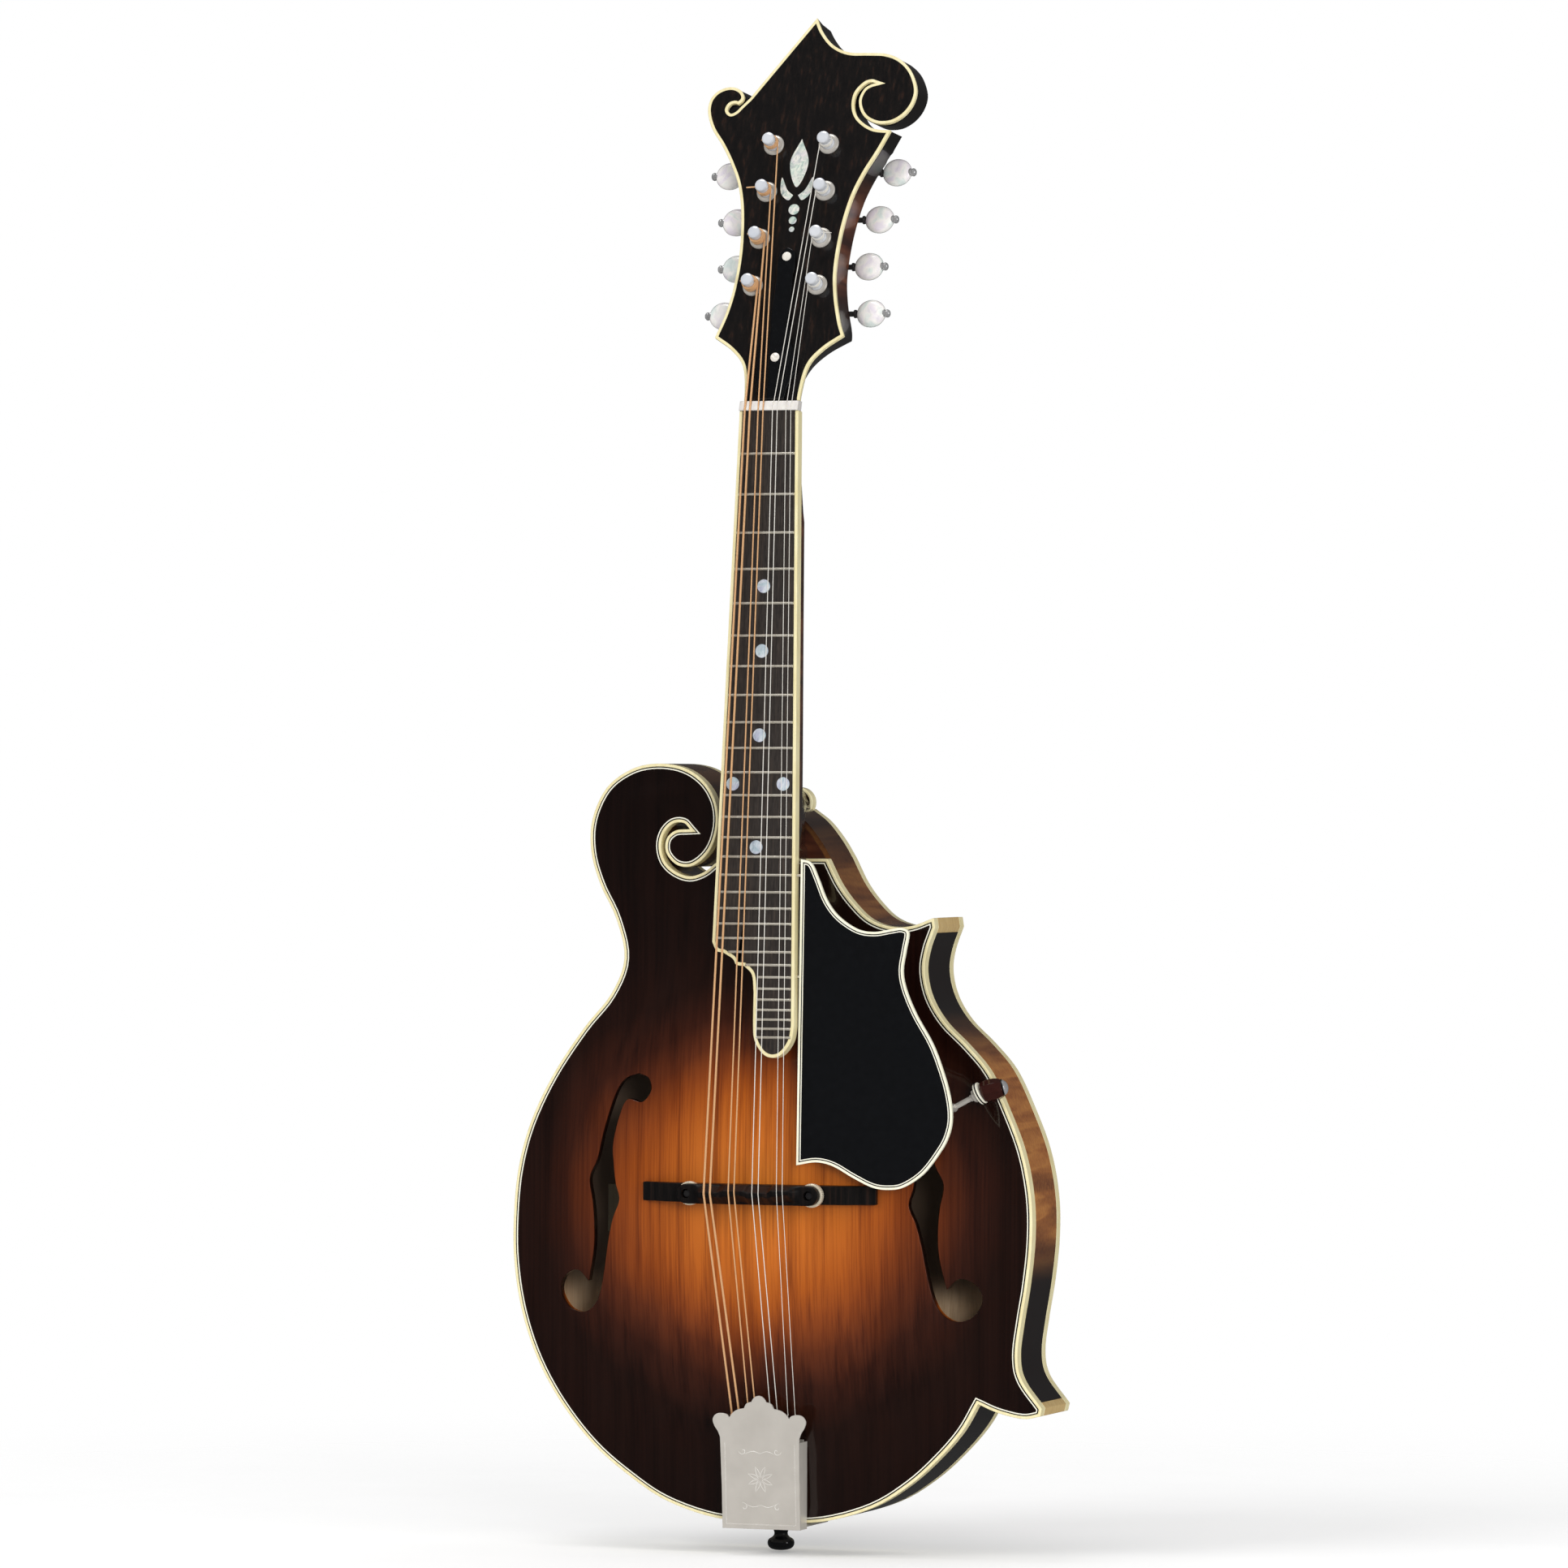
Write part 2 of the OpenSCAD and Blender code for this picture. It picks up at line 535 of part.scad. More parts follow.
// Ring of the worm at height h: a circle whose centre winds round the axis
function worm_ring(h) = [for (k = [0:7])
    [worm_core_r * cos(45 * k) + worm_throw * cos(180 + 360 * h / worm_lead),
     worm_core_r * sin(45 * k) + worm_throw * sin(180 + 360 * h / worm_lead), h]];
module worm() rotate([0, 90, 0])
    loft([for (k = [-9:9]) worm_ring(k * worm_len / 18)]);
module tuner_knob(i) head_frame()
    translate([post_x(i), gear_y, post_z(i) - worm_offset]) {
        reach = knob_reach[i % 4] - abs(post_x(i));
        color(nickel) worm();
        color(nickel) mirror([i < 4 ? 1 : 0, 0, 0]) rotate([0, 90, 0]) {
            translate([0, 0, -5.2]) cylinder(r = shaft_r, h = 5.2 - worm_end);
            translate([0, 0, worm_end]) cylinder(r = shaft_r, h = reach - button_r + 0.2 - worm_end);
            for (z = [-worm_end, worm_end - shoulder_t]) translate([0, 0, z + (z < 0 ? -0.1 : 0.1)])
                cylinder(r = shoulder_r, h = shoulder_t);
            translate([0, 0, reach + button_r - 0.1]) cylinder(r = 1.9, h = 1);
            translate([0, 0, reach + button_r + 0.9]) sphere(r = 1.5, $fn = 24);
        }
        color(pearl) translate([side_of(i) * reach, 0, 0]) rotate([90, 0, 0]) rotate_extrude()
            intersection() {
                translate([0, -button_t / 2]) square([button_r, button_t]);
                circle(r = button_r);
            }
    }

// ---- Bridge -----------------------------------------------------------------------

saddle_top = -36.3;
saddle_foot = -27.35;
wheel_t = 3;
bridge_depth = 8.6;
crest = 1;                                // the strings' crest, from the bridge's middle
pad_top = -31.8;                          // the saddle's low ends round its posts
base_top = -22.9;
module bridge_base() color(ebony) difference() {
    translate([0, 0, bridge_z - bridge_depth / 2]) linear_extrude(bridge_depth) polygon(concat(
        [[-bridge_half, -10], [-bridge_half, -15.4]],
        smooth([[-bridge_half, -15.4], [-50, -17.6], [-43, -21.4], [-36, base_top]]),
        smooth([[36, base_top], [43, -21.4], [50, -17.6], [bridge_half, -15.4]]),
        [[bridge_half, -15.4], [bridge_half, -10]]));
    front_ball(fit_gap);
    for (side = [-1, 1]) translate([side * bridge_post_x, 0, bridge_z])
        y_cylinder(bridge_post_r + fit_gap, base_top - 5, 10);
}
module bridge_posts() color(nickel) for (side = [-1, 1])
    translate([side * bridge_post_x, 0, bridge_z]) y_cylinder(bridge_post_r, -30, base_top + 5 + 30);
module bridge_saddle() color(ebony) difference() {
    intersection() {
        translate([-39, 0, bridge_z]) rotate([90, 0, 90]) linear_extrude(78) polygon(
            [[saddle_foot, -4.3], [-31, -4.2], [saddle_top + 0.9, crest - 2], [saddle_top, crest - 0.2],
             [saddle_top, crest + 0.2], [saddle_top + 0.4, crest + 1.6], [-31, 4.2], [saddle_foot, 4.3]]);
        slab(-40, -20) hull() for (side = [-1, 1]) translate([side * bridge_post_x, bridge_z]) circle(r = 4.6);
    }
    for (side = [-1, 1]) {
        translate([side * bridge_post_x, 0, bridge_z]) y_cylinder(bridge_post_r + 0.1, -35.4, 9);
        slab(-40, pad_top) translate([side * (bridge_post_x + 1) - 6.5, bridge_z - 6]) square([13, 12]);
    }
}
module thumbwheel(side) color(nickel)
    translate([side * bridge_post_x, 0, bridge_z]) difference() {
        y_cylinder(wheel_r, saddle_foot + 0.05, wheel_t);
        y_cylinder(bridge_post_r + 0.1, saddle_foot - 1, wheel_t + 3);
        for (k = [0:35]) rotate([0, 10 * k, 0]) translate([wheel_r + 0.15, saddle_foot - 1, 0])
            cube([0.7, 2 * wheel_t + 2, 0.5], center = true);
    }

// ---- Strings: bass pair first, then D, A and E --------------------------------------

nut_x = [-11.2, -8.7, -4.7, -2.3, 2.3, 4.6, 8.8, 11.2];
saddle_x = [-18.8, -15.8, -7, -4.2, 4.4, 7.4, 16.2, 19];
hook_x = [-15, -11.4, -7.2, -3.6, 3.4, 6.8, 11.4, 15];
string_post = [0, 1, 2, 3, 7, 6, 5, 4];
hook_y = -4.5;
hook_z = -470;
string_gap = 0.03;
module string(j) {
    i = string_post[j];
    r = string_r(i);
    at_saddle = [saddle_x[j], saddle_top - r - string_gap, bridge_z + crest];
    at_nut = neck_point([nut_x[j], -1.42 - r - string_gap, 0.4]);
    at_post = head_point([post_x(i) - side_of(i) * (post_r + r), -3.6, post_z(i) - post_r - 2 * r - 1]);
    bar([hook_x[j], hook_y, hook_z + 1.2], at_saddle + [0, 0, -0.3], r);
    bar(at_saddle + [0, 0, 0.3], at_nut, r);
    bar(at_nut + [0, 0, 0.3], at_post, r);
}
module strings_wound() color(bronze) for (j = [0:3]) string(j);
module strings_plain() color(nickel) for (j = [4:7]) string(j);

// ---- Tailpiece, end pin and label -----------------------------------------------------

module tailpiece_base() color(nickel) difference() {
    union() {
        translate([-18, 0, 0]) rotate([90, 0, 90]) linear_extrude(36) polygon(
            [[-tail_t, pin_z], [-tail_t, tail_z - 1], [-4.1, hook_z - 3], [-4.1, hook_z + 0.5],
             [-2.9, hook_z + 0.5], [-2.9, hook_z - 2.6], [0, tail_z], [0, bottom_z],
             [30, bottom_z], [30, pin_z]]);
        for (x = hook_x) translate([x, 0, hook_z - 1]) y_cylinder(0.9, hook_y - 1.6, 2.6);
    }
    translate([0, pin_y, pin_z - 1]) cylinder(r = pin_r + fit_gap, h = 4);
    tail_shanks();
}
module tailpiece_screws() color(nickel) {
    tail_shanks();
    for (x = [-12, 12]) translate([x, binding_h + 2, pin_z - 1]) cylinder(r = 2.4, h = 1);
    translate([0, 0, tail_z - 10]) y_cylinder(2.4, -tail_t - 1, 1);
}
module end_pin() color(ebony) translate([0, pin_y, pin_z]) mirror([0, 0, 1]) rotate_extrude()
    polygon([[0, -12], [pin_r, -12], [pin_r, 0], [5.6, 0], [5.6, 1.2], [3.6, 2.6], [3, 4.2],
             [3.4, 6], [5.6, 7.2], [6.2, 9], [5.8, 10.8], [4, 12], [0, 12.4]]);

cover_crown = concat(
    smooth([[0, -449.1], [1.7, -449.6], [3, -450.9], [3.6, -452]]),
    smooth([[3.6, -452], [5.7, -452.6], [6.8, -453.8], [7.2, -455]]),
    smooth([[7.2, -455], [10.4, -455.7], [12.8, -457.2], [14.5, -459.4]]),
    smooth([[14.5, -459.4], [15.6, -458.1], [18, -457.5], [20.9, -458], [22.6, -460.4],
            [21.9, -463.3], [20.3, -465.8], [19.2, -468.5]]),
    smooth([[19.2, -468.5], [19, -480], [18.8, -495], [18.9, -510.4]]),
    [[18.9, -510.4]]);
cover_points = concat(
    cover_crown,
    [for (i = [len(cover_crown) - 1:-1:1]) [-cover_crown[i].x, cover_crown[i].y]]);
module cover_frame() translate([0, -9.6, pin_z]) rotate([4, 0, 0]) translate([0, 0, -pin_z]) children();
module tailpiece_cover() color(nickel) {
    cover_frame() slab(-0.8, 0) polygon(cover_points);
    intersection() {
        slab(-14, -1.35) difference() {
            translate([-18.9, -510.4]) square([37.8, 40]);
            translate([-18.3, -509.8]) square([36.6, 60]);
        }
        cover_frame() slab(0, 30) translate([-30, -520]) square([60, 60]);
    }
}

// ---- Pickguard --------------------------------------------------------------------------

guard_t = 1.6;
guard_edge = 2;
module guard_frame() translate([0, -19.8, -204]) rotate([-2, 0, 0]) translate([0, 0, 204]) children();
guard_points = concat(
    smooth([[21.5, -204.6], [26.5, -206.3], [30.2, -213.6], [34.4, -223.2], [40.3, -230.5],
            [49.3, -236.1], [57.5, -237.3], [65.5, -236], [70.6, -235.4], [73.8, -237.6],
            [72.6, -245.6], [71.3, -254.7], [73, -263.1], [78, -274.2], [86, -287.4],
            [91.3, -300.1], [94.6, -311], [95.8, -321], [94.3, -329], [90.5, -336.2],
            [82.7, -346.2], [73.4, -352.4], [66, -353.8], [58.2, -352.9], [48.8, -348.7],
            [39.3, -343.7], [31, -342], [21.5, -343.5]]),
    [[21.5, -343.5]]);
module guard_outline() polygon(guard_points);
module pickguard() color(ebony) guard_frame() slab(0, guard_t) offset(delta = -guard_edge) guard_outline();
module pickguard_binding() color(cream) guard_frame() slab(0, guard_t) difference() {
    guard_outline();
    offset(delta = -guard_edge) guard_outline();
}
clamp_y = -5.2;
rod_from = [90, clamp_y, -317];
rod_to = [117, clamp_y, -302.8];
clamp_rod_r = 1.25;
module pickguard_clamp() color(wood) {
    difference() {
        hull() for (p = [[106.6, -300.5], [114.6, -306.5], [112, -313], [104, -307]])
            translate([p.x, 0, p.y]) y_cylinder(1, -8, 8);
        bar(rod_from, rod_to + 0.2 * (rod_to - rod_from), clamp_rod_r + fit_gap);
    }
}
module pickguard_rod() color(nickel) {
    bar(rod_from, rod_to, clamp_rod_r);
    bar(rod_from + 0.39 * (rod_to - rod_from), rod_from + 0.48 * (rod_to - rod_from), 3);
    translate([rod_from.x, 0, rod_from.z]) y_cylinder(2, -22, 22 + clamp_y + 0.8);
    guard_frame() for (z = [-212, -258])
        translate([board_half(z) + 0.03, guard_t / 2, z]) rotate([0, 90, 0])
            cylinder(r = 0.6, h = 21.4 - board_half(z));
}

soundboard();
back_plate();
ribs();
top_binding();
back_binding();
linings();
tone_bars();
head_block();
tail_block();
point_blocks();
point_caps();
neck();
truss_rod();
truss_rod_nut();
headstock_overlay();
headstock_binding();
headstock_inlay();
truss_rod_cover();
truss_rod_cover_screws();
nut();
fingerboard();
fingerboard_binding();
frets();
position_markers();
tuner_plates();
tuner_plate_screws();
tuner_bushings();
strings_wound();
strings_plain();
tailpiece_base();
tailpiece_screws();
end_pin();
pickguard();
pickguard_binding();
pickguard_clamp();
pickguard_rod();
bridge_base();
bridge_posts();
label();
bridge_saddle();
thumbwheel(-1);  // thumbwheel_bass
thumbwheel(1);  // thumbwheel_treble
tailpiece_cover();
for (i = [0:7]) tuner_post(i);
for (i = [0:7]) tuner_knob(i);
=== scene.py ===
"""Looks of the arch-top mandolin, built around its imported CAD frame. Lengths are in mm."""

import json
import math

import bmesh
import bpy
import numpy as np
from mathutils import Matrix, Vector
from mathutils.geometry import delaunay_2d_cdt


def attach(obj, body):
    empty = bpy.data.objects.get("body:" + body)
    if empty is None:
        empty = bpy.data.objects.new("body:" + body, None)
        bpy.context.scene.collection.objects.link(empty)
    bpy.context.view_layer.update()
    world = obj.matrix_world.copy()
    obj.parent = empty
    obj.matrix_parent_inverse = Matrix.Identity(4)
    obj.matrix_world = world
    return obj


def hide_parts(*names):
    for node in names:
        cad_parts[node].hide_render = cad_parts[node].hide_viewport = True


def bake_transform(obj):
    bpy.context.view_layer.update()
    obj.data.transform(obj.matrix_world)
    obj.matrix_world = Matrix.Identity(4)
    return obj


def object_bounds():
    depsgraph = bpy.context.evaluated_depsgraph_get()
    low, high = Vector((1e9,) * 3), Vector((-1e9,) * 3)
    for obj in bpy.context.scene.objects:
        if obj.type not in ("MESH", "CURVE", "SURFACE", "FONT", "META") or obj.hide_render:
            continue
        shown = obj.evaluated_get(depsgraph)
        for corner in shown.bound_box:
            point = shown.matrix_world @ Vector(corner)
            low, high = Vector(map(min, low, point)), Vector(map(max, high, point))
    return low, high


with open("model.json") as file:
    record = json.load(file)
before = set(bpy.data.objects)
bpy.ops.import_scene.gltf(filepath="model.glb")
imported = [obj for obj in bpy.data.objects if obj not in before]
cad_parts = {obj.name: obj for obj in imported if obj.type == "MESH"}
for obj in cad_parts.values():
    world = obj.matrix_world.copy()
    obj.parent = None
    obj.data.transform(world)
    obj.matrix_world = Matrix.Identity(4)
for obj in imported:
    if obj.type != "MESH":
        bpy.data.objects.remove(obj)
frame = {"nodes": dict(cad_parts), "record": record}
CAD_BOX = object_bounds()
NODES = frame["nodes"]
RECORD = frame["record"]
BODY_OF = {n: b for b, ns in RECORD["behaviour"]["bodies"].items() for n in ns}
MM = 0.001


# ---- Frames and small maths ----

NECK_TILT, HEAD_TILT = 4.3, 13.7
NUT_Y, HEAD_DROP = -5.5, 2.0
GUARD_TILT, GUARD_Y, GUARD_Z = 2.0, -19.8, -204.0
COVER_TILT, COVER_Y, PIN_Z = 4.0, -9.6, -509.7
ARCH_Z, ARCH_REACH = -362.0, 114.0
FRONT_ARCH, BACK_ARCH = 16.0, 13.0
RIM_DEPTH, PLATE_T = 41.5, 4.5
BRIDGE_Z = -357.0
NUT_WIDTH, BOARD_TAPER, SCALE_LEN = 28.6, 0.0233, 352.4


def shifted(x=0, y=0, z=0):
    return Matrix.Translation((x, y, z))


def turned(degrees, axis):
    return Matrix.Rotation(math.radians(degrees), 4, axis)


def tilted(degrees, y, z=0):
    """Turned about a line across the instrument, at that depth and height."""
    return shifted(y=y, z=z) @ turned(degrees, "X") @ shifted(z=-z)


def placed(x, y, z, at):
    """The matrix that has these axes, at that place."""
    m = Matrix((x, y, z)).transposed().to_4x4()
    m.translation = at
    return m


NECK = tilted(-NECK_TILT, NUT_Y)
HEAD = NECK @ tilted(-HEAD_TILT, HEAD_DROP)
GUARD = tilted(-GUARD_TILT, GUARD_Y, GUARD_Z)
COVER = tilted(COVER_TILT, COVER_Y, PIN_Z)


def moved(points, matrix):
    m = np.array(matrix)
    return np.asarray(points, float) @ m[:3, :3].T + m[:3, 3]


def smoothstep(a, b, x):
    t = np.clip((x - a) / (b - a), 0, 1)
    return t * t * (3 - 2 * t)


def board_half(z):
    return NUT_WIDTH / 2 - BOARD_TAPER * z


def columns(*values):
    """Points from their coordinates, each one number or an array."""
    return np.stack(np.broadcast_arrays(*values), 1).astype(float)


def circle(radius, x=0.0, z=0.0, n=24):
    a = np.arange(n) * 2 * math.pi / n
    return columns(x + radius * np.cos(a), z + radius * np.sin(a))


def curve(points, n=8):
    """Catmull-Rom curve through points, n steps a span."""
    p = np.asarray(points, float)
    p = np.vstack([2 * p[0] - p[1], p, 2 * p[-1] - p[-2]])
    out = []
    for a, b, c, d in zip(p, p[1:], p[2:], p[3:]):
        for k in range(n):
            t = k / n
            out.append(0.5 * (2 * b + (c - a) * t + (2 * a - 5 * b + 4 * c - d) * t**2
                              + (3 * b - a - 3 * c + d) * t**3))
    return np.array(out + [p[-2]])


# ---- Node materials ----

def rgb(r, g, b):
    """8-bit sRGB to linear."""
    return tuple((c / 255 / 12.92) if c <= 10 else ((c / 255 + 0.055) / 1.055) ** 2.4
                 for c in (r, g, b)) + (1.0,)


class Look:
    """A Principled material and short calls for its nodes."""

    def __init__(self, name, rough=0.4, metal=0.0, coat=0.0, coat_rough=0.05, specular=0.5):
        self.mat = bpy.data.materials.new(name)
        self.mat.use_nodes = True
        self.tree = self.mat.node_tree
        self.bsdf = self.tree.nodes["Principled BSDF"]
        self.set(Roughness=rough, Metallic=metal, Coat_Weight=coat, Coat_Roughness=coat_rough,
                 Specular_IOR_Level=specular)
        place = self.node("ShaderNodeTexCoord").outputs["Object"]
        self.mm = self.maths("VectorMath", "MULTIPLY", place, (1 / MM,) * 3)

    def set(self, **inputs):
        for key, value in inputs.items():
            self.put(self.bsdf.inputs[key.replace("_", " ")], value)
        return self.mat

    def put(self, socket, value):
        if isinstance(value, bpy.types.NodeSocket):
            self.tree.links.new(value, socket)
        else:
            socket.default_value = value

    def node(self, kind, **props):
        n = self.tree.nodes.new(kind)
        for key, value in props.items():
            setattr(n, key, value)
        return n

    def maths(self, kind, operation, *values):
        n = self.node("ShaderNode" + kind, operation=operation)
        for socket, value in zip(n.inputs, values):
            self.put(socket, value)
        return n.outputs["Value" if kind == "Math" or operation == "LENGTH" else "Vector"]

    def sum_of(self, *terms):
        """The sum of (level, share) pairs."""
        total = 0.0
        for level, share in terms:
            total = self.maths("Math", "MULTIPLY_ADD", level, share, total)
        return total

    def noise(self, stretch, detail=3.0, rough=0.5, distortion=0.0, where=None):
        """Noise over a place in mm. A small stretch, in all or by axis, draws the pattern out."""
        stretch = stretch if isinstance(stretch, tuple) else (stretch,) * 3
        place = self.maths("VectorMath", "MULTIPLY", where or self.mm, stretch)
        n = self.node("ShaderNodeTexNoise")
        for key, value in (("Vector", place), ("Scale", 1.0), ("Detail", detail), ("Roughness", rough),
                           ("Distortion", distortion)):
            self.put(n.inputs[key], value)
        return n.outputs["Fac"]

    def ramp(self, level, *stops, ease="LINEAR"):
        """Colours along a level, from (place, value): a level, an 8-bit colour or a linear one."""
        n = self.node("ShaderNodeValToRGB")
        n.color_ramp.interpolation = ease
        e = n.color_ramp.elements
        while len(e) < len(stops):
            e.new(0.5)
        for k, (at, value) in enumerate(stops):
            value = value if isinstance(value, tuple) else (value, value, value, 1)
            e[k].position, e[k].color = at, rgb(*value) if len(value) == 3 else value
        self.put(n.inputs["Fac"], level)
        return n.outputs["Color"]

    def mix(self, share, a, b, kind="MIX"):
        n = self.node("ShaderNodeMix", data_type="RGBA", blend_type=kind)
        self.put(n.inputs["Factor"], share)
        self.put(n.inputs[6], a)
        self.put(n.inputs[7], b)
        return n.outputs[2]

    def bump(self, height, distance):
        """A relief of that many mm."""
        n = self.node("ShaderNodeBump")
        n.inputs["Distance"].default_value = distance * MM
        self.put(n.inputs["Height"], height)
        self.set(Normal=n.outputs["Normal"])

    def burst_and_shade(self):
        """The level that piece() stores in the mesh's points: how dark the sunburst is there, and on the bare
        inner wood how deep its painted shade is.
        """
        return self.node("ShaderNodeAttribute", attribute_name="burst_and_shade").outputs["Fac"]


BURST = ((0.0, (214, 124, 40)), (0.12, (200, 108, 31)), (0.24, (166, 82, 16)), (0.30, (134, 61, 11)),
         (0.36, (93, 39, 9)), (0.43, (58, 22, 7)), (0.52, (34, 12, 5)), (0.70, (26, 8, 4)), (1.0, (20, 6, 3)))


def burst_wood(name, grain):
    """Lacquered sunburst: colour by the burst level, a little clouded, times the grain."""
    look = Look(name, coat=1.0, coat_rough=0.035, specular=0.25)
    cloud = look.noise((0.03, 0.03, 0.012), detail=2.0)
    fade = look.sum_of((look.burst_and_shade(), 1.0), (cloud, 0.09), (1.0, -0.045))
    dust = look.noise(0.05, detail=1.0)
    return look.set(Base_Color=look.mix(1.0, look.ramp(fade, *BURST), grain(look), "MULTIPLY"),
                    Roughness=look.ramp(dust, (0.3, 0.36), (0.7, 0.5)))


def spruce_grain(look):
    wide = look.noise((0.16, 0.16, 0.004), detail=2.0, distortion=0.3)
    year = look.noise((1.0, 0.25, 0.006), detail=3.0, rough=0.6)
    aside = look.maths("VectorMath", "ADD", look.mm, (14.23077, 0, 0))
    fine = look.noise((2.6, 0.6, 0.05), detail=2.0, where=aside)
    look.bump(year, 0.012)
    return look.ramp(look.sum_of((year, 0.55), (wide, 0.55), (fine, 0.2)),
                     (0.45, (170, 152, 134)), (0.60, (222, 213, 202)), (0.74, (255, 255, 255)))


def maple_bands(look):
    bands = look.noise((0.012, 0.004, 0.12), detail=2.0, rough=0.45, distortion=0.55)
    fibre = look.noise((1.1, 0.08, 0.09), detail=3.0)
    return look.ramp(look.sum_of((bands, 0.85), (fibre, 0.15)), (0.36, (150, 128, 112)),
                     (0.47, (205, 192, 180)), (0.56, (255, 255, 255)), (0.68, (225, 214, 200)))


def make_rib_maple():
    look = Look("maple_ribs", coat=1.0, coat_rough=0.04, specular=0.3)
    bands = look.noise((0.10, 0.010, 0.10), detail=2.5, rough=0.5, distortion=0.7)
    curl = look.ramp(bands, (0.34, (104, 54, 26)), (0.46, (152, 90, 42)), (0.56, (190, 126, 62)),
                     (0.70, (160, 94, 44)))
    pores = look.noise((0.5, 0.9, 0.5), detail=2.0)
    curl = look.mix(0.35, curl, look.ramp(pores, (0.3, (124, 68, 34)), (0.7, (196, 132, 70))))
    return look.set(Base_Color=look.mix(look.burst_and_shade(), curl, rgb(24, 14, 13)))


def make_neck_maple():
    look = Look("maple_neck", coat=1.0, specular=0.3)
    bands = look.noise((0.02, 0.02, 0.13), detail=2.0, rough=0.45, distortion=0.6)
    curl = look.ramp(bands, (0.36, (62, 30, 20)), (0.50, (96, 50, 32)), (0.62, (122, 70, 44)))
    return look.set(Base_Color=look.mix(look.burst_and_shade(), curl, rgb(17, 10, 10)))


def make_ebony(name, coat=0.0, rough=0.42):
    look = Look(name, rough=rough, coat=coat, coat_rough=0.04, specular=0.3)
    streak = look.noise((0.55, 0.4, 0.012), detail=3.0, rough=0.55, distortion=0.2)
    pores = look.noise((3.2, 2.0, 0.12), detail=2.0)
    base = look.ramp(streak, (0.42, (11, 10, 11)), (0.58, (20, 16, 15)), (0.72, (46, 29, 22)))
    specks = look.ramp(pores, (0.3, (6, 6, 7)), (0.8, (48, 40, 36)))
    if not coat:
        look.bump(pores, 0.02)
    return look.set(Base_Color=look.mix(0.18, base, specks))


def make_board():
    look = Look("fingerboard_ebony", rough=0.5, specular=0.4)
    streak = look.noise((1.4, 0.4, 0.02), detail=3.0, rough=0.6)
    pores = look.noise((5.0, 2.0, 0.18), detail=2.0)
    base = look.ramp(streak, (0.35, (38, 35, 34)), (0.55, (52, 46, 43)), (0.72, (74, 62, 54)))
    specks = look.ramp(pores, (0.35, (20, 18, 18)), (0.7, (84, 76, 70)))
    look.bump(pores, 0.03)
    return look.set(Base_Color=look.mix(0.3, base, specks))


def make_cream(name, light, dark, rough=0.3):
    look = Look(name, rough=rough, coat=0.6, coat_rough=0.08)
    grain = look.noise((0.5, 0.5, 0.08), detail=3.0)
    patch = look.noise(0.04, detail=2.0)
    base, cloud = (look.ramp(level, (0.3, dark), (0.7, light)) for level in (grain, patch))
    return look.set(Base_Color=look.mix(0.3, base, cloud), Subsurface_Weight=0.06,
                    Subsurface_Radius=(0.0012, 0.0009, 0.0005))


def make_pearl(name, dark, mid, light, size):
    look = Look(name, rough=0.16, coat=1.0, coat_rough=0.03, specular=0.7)
    warp = look.noise(size * 0.6, detail=2.0, distortion=1.2)
    folds = look.maths("VectorMath", "MULTIPLY", (7, 3, 5), warp)
    place = look.maths("VectorMath", "MULTIPLY_ADD", look.mm, (1, 1, 0.45), folds)
    sheet = look.noise(size, detail=4.0, rough=0.6, distortion=1.6, where=place)
    grey = look.ramp(sheet, (0.30, dark), (0.48, mid), (0.62, light), (0.75, dark))
    hue = look.ramp(warp, (0.35, (224, 236, 232)), (0.5, (255, 250, 246)), (0.65, (238, 228, 240)))
    look.bump(sheet, 0.05)
    return look.set(Base_Color=look.mix(0.8, grey, hue, "MULTIPLY"))


def make_metal(name, light, dark, rough=0.2, metal=0.6, brushed=False):
    look = Look(name, metal=metal)
    patch = look.noise(0.09, detail=3.0)
    marks = look.noise((0.16, 0.16, 0.02) if brushed else 0.4, detail=4.0, rough=0.6)
    look.bump(marks, 0.006)
    return look.set(Base_Color=look.ramp(patch, (0.3, dark), (0.7, light)),
                    Roughness=look.ramp(marks, (0.3, rough * 0.75), (0.7, rough * 1.35)))


def make_wrap():
    """Bronze wrap wire: the turns lie across the string."""
    look = Look("bronze_wrap", rough=0.3, metal=0.3)
    wave = look.node("ShaderNodeTexWave", wave_type="BANDS", bands_direction="Z")
    look.put(wave.inputs["Vector"], look.mm)
    wave.inputs["Scale"].default_value = 1.2
    look.bump(wave.outputs["Fac"], 0.05)
    return look.set(Base_Color=look.ramp(wave.outputs["Fac"], (0.1, (214, 150, 100)), (0.6, (255, 210, 158))))


def make_plastic(name, colour, rough=0.12):
    look = Look(name, coat=0.5, coat_rough=0.04, specular=0.35)
    marks = look.noise(0.35, detail=4.0)
    shade = tuple(0.75 * c for c in rgb(*colour)[:3]) + (1,)
    return look.set(Base_Color=look.ramp(marks, (0.3, shade), (0.7, colour)),
                    Roughness=look.ramp(marks, (0.35, rough * 0.8), (0.75, rough * 1.5)))


def make_bare_wood(name, light, dark):
    """Raw wood or paper, coloured by its grain; where the level from piece() is 1 it is painted dark brown,
    as painted shade inside the body.
    """
    look = Look(name, rough=0.7)
    grain = look.noise((0.9, 0.9, 0.02), detail=4.0, rough=0.6)
    look.bump(grain, 0.05)
    grain_tone = look.ramp(grain, (0.35, dark), (0.65, light))
    # Painted shade: the dark brown stands for shade on the wood inside the body, away from the light that
    # falls in through the lower f-hole eyes.
    return look.set(Base_Color=look.mix(look.burst_and_shade(), grain_tone, rgb(118, 100, 84)))


